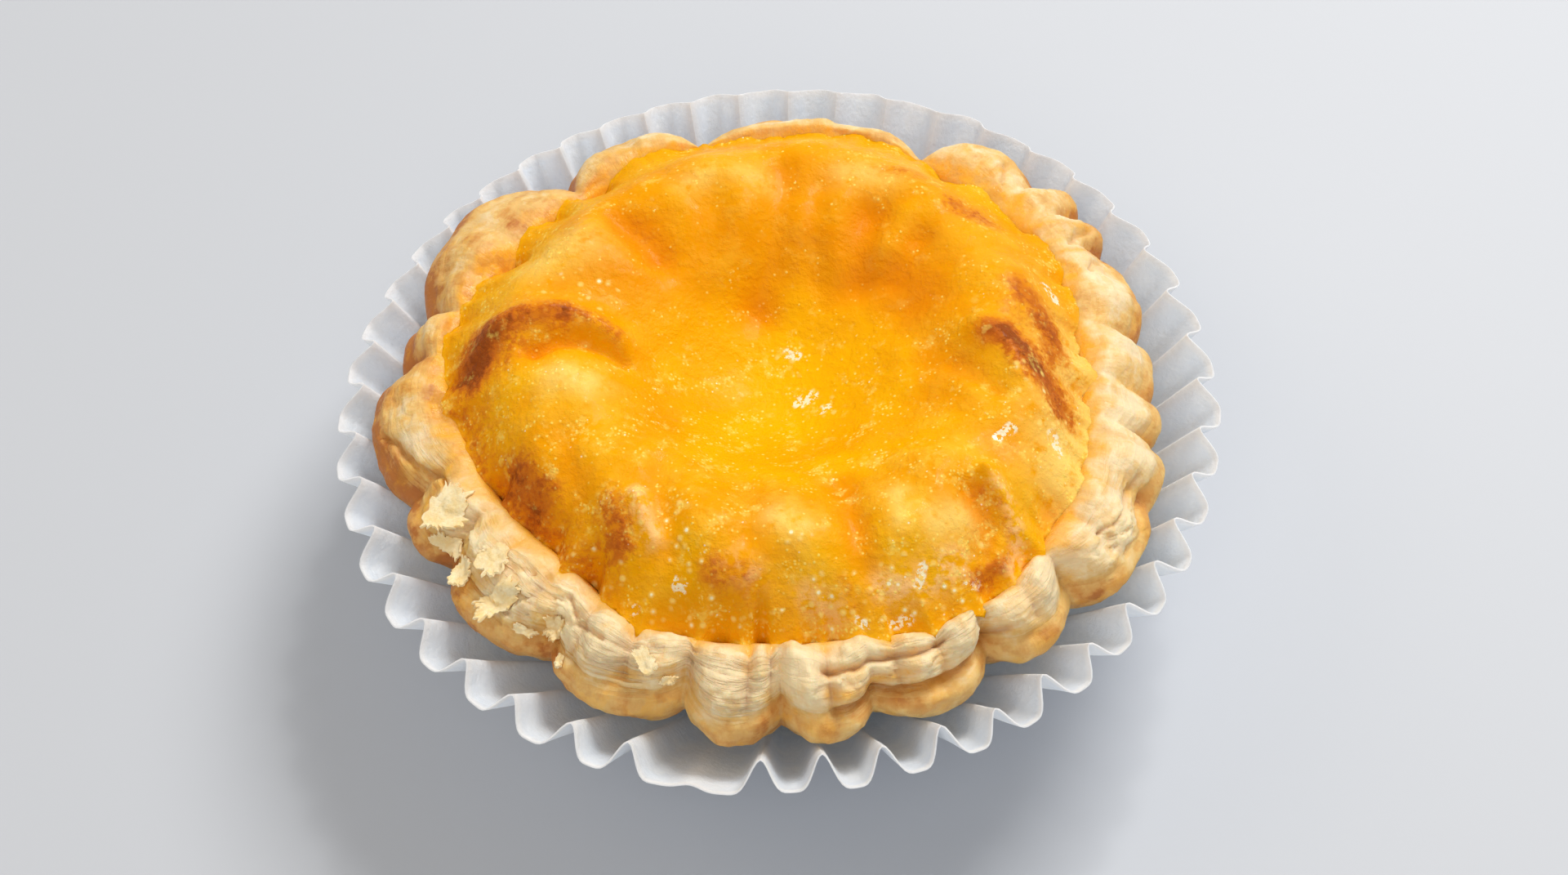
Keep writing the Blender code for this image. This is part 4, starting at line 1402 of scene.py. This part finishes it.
# %% Paper finish
PAPER_WHITE = rgb(230, 240, 253)
PAPER_SHADE = rgb(214, 227, 246)
# Painted light for the glow at the rim and the highlight on the fold lines.
PAPER_PAINTED_LIGHT = rgb(246, 251, 255)


def paper_finish():
    """Thin white greaseproof paper."""
    paper = Finish("greaseproof_paper")
    rim, fold = paper.stored("rim", "fold")
    cloud = paper.uneven(5.0, 4.0, 0.3, 0.7)
    fibre = paper.uneven(0.7, 5.0, 0.3, 0.7)
    colour = paper.mix(cloud, PAPER_WHITE, PAPER_SHADE)
    # The fold lines get a painted highlight.
    colour = paper.laid_over(colour, (fibre, 0.15, PAPER_SHADE), (fold, 0.4, PAPER_PAINTED_LIGHT))
    # Painted glow: the top of the rim is coloured brighter, for the light that comes through the
    # paper.
    return paper.done(
        paper.plus(fibre, (cloud, 0.6)),
        0.05,
        Base_Color=paper.mix(paper.spread(rim, 0.96, 1.0), colour, PAPER_PAINTED_LIGHT),
        Roughness=paper.spread(fibre, 0.0, 1.0, 0.48, 0.62),
        Subsurface_Weight=0.85,
        Subsurface_Radius=(1.0, 1.0, 1.0),
        Subsurface_Scale=0.8 * MM,
    )


# %% Put each piece in its place
def finish_piece(piece, finish, slot, *nodes):
    """Give a piece its finish, let it stand for its solids, and let it ride on the tart."""
    piece.data.materials.clear()
    piece.data.materials.append(finish)
    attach(piece, "root")
    if nodes:
        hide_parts(*nodes)
    print(piece.name, "finished as", finish.name)


finish_piece(paper_case, paper_finish(), "paper_case", "paper_case")
finish_piece(crust, pastry_finish(), "crust", "crust")
finish_piece(custard, custard_finish(), "custard", "custard")
finish_piece(loose_flakes, flake_finish(), "crust")

# %% [markdown]
# ## Floor and light
#
# A plain pale floor and an even pale surround. The main lamp is broad and soft and stands high
# behind on the right. A small one beside it draws the glints, a warm one on the left stands in for
# a window, and a wide one in front opens the shadows.

# %% Floor
FLOOR_SIZE = 3.0
FLOOR_GREY = rgb(198, 201, 206)

floor = add_plane("floor", FLOOR_SIZE)
floor_finish = bpy.data.materials.new("pale_floor")
floor_finish.use_nodes = True
floor_tree = floor_finish.node_tree
floor_look = {"Base Color": FLOOR_GREY, "Roughness": 0.6}
fill(floor_tree, floor_tree.nodes["Principled BSDF"], floor_look)
floor.data.materials.append(floor_finish)

# %% Lamps and surround
# Name, direction, elevation, distance in metres, size in metres, power, colour.
LAMPS = (
    ("key", 50.0, 52.0, 0.7, 0.3, 3.4, (0.99, 0.985, 0.98)),
    ("glints", 66.0, 55.0, 0.7, 0.05, 0.4, (1.0, 0.99, 0.97)),
    ("window", 170.0, 42.0, 0.8, 0.4, 0.6, (1.0, 0.88, 0.74)),
    ("front_fill", 262.0, 48.0, 0.9, 0.6, 1.8, (1.0, 0.95, 0.88)),
)
SURROUND = {"Color": (0.93, 0.92, 0.91, 1.0), "Strength": 0.43}

for name, direction, elevation, distance, size, power, colour in LAMPS:
    lamp = bpy.data.objects.new(name, bpy.data.lights.new(name, "AREA"))
    bpy.context.scene.collection.objects.link(lamp)
    lamp.data.size = size
    lamp.data.energy = power
    lamp.data.color = colour
    lamp_x, lamp_y = circular(distance * math.cos(math.radians(elevation)), direction)
    lamp.location = (lamp_x, lamp_y, distance * math.sin(math.radians(elevation)))
    lamp.rotation_euler = (-lamp.location).to_track_quat("-Z", "Y").to_euler()
world = bpy.data.worlds.new("surround")
world.use_nodes = True
fill(world.node_tree, world.node_tree.nodes["Background"], SURROUND)
bpy.context.scene.world = world
bpy.context.scene.view_settings.view_transform = "Standard"
print(len(LAMPS), "lamps")
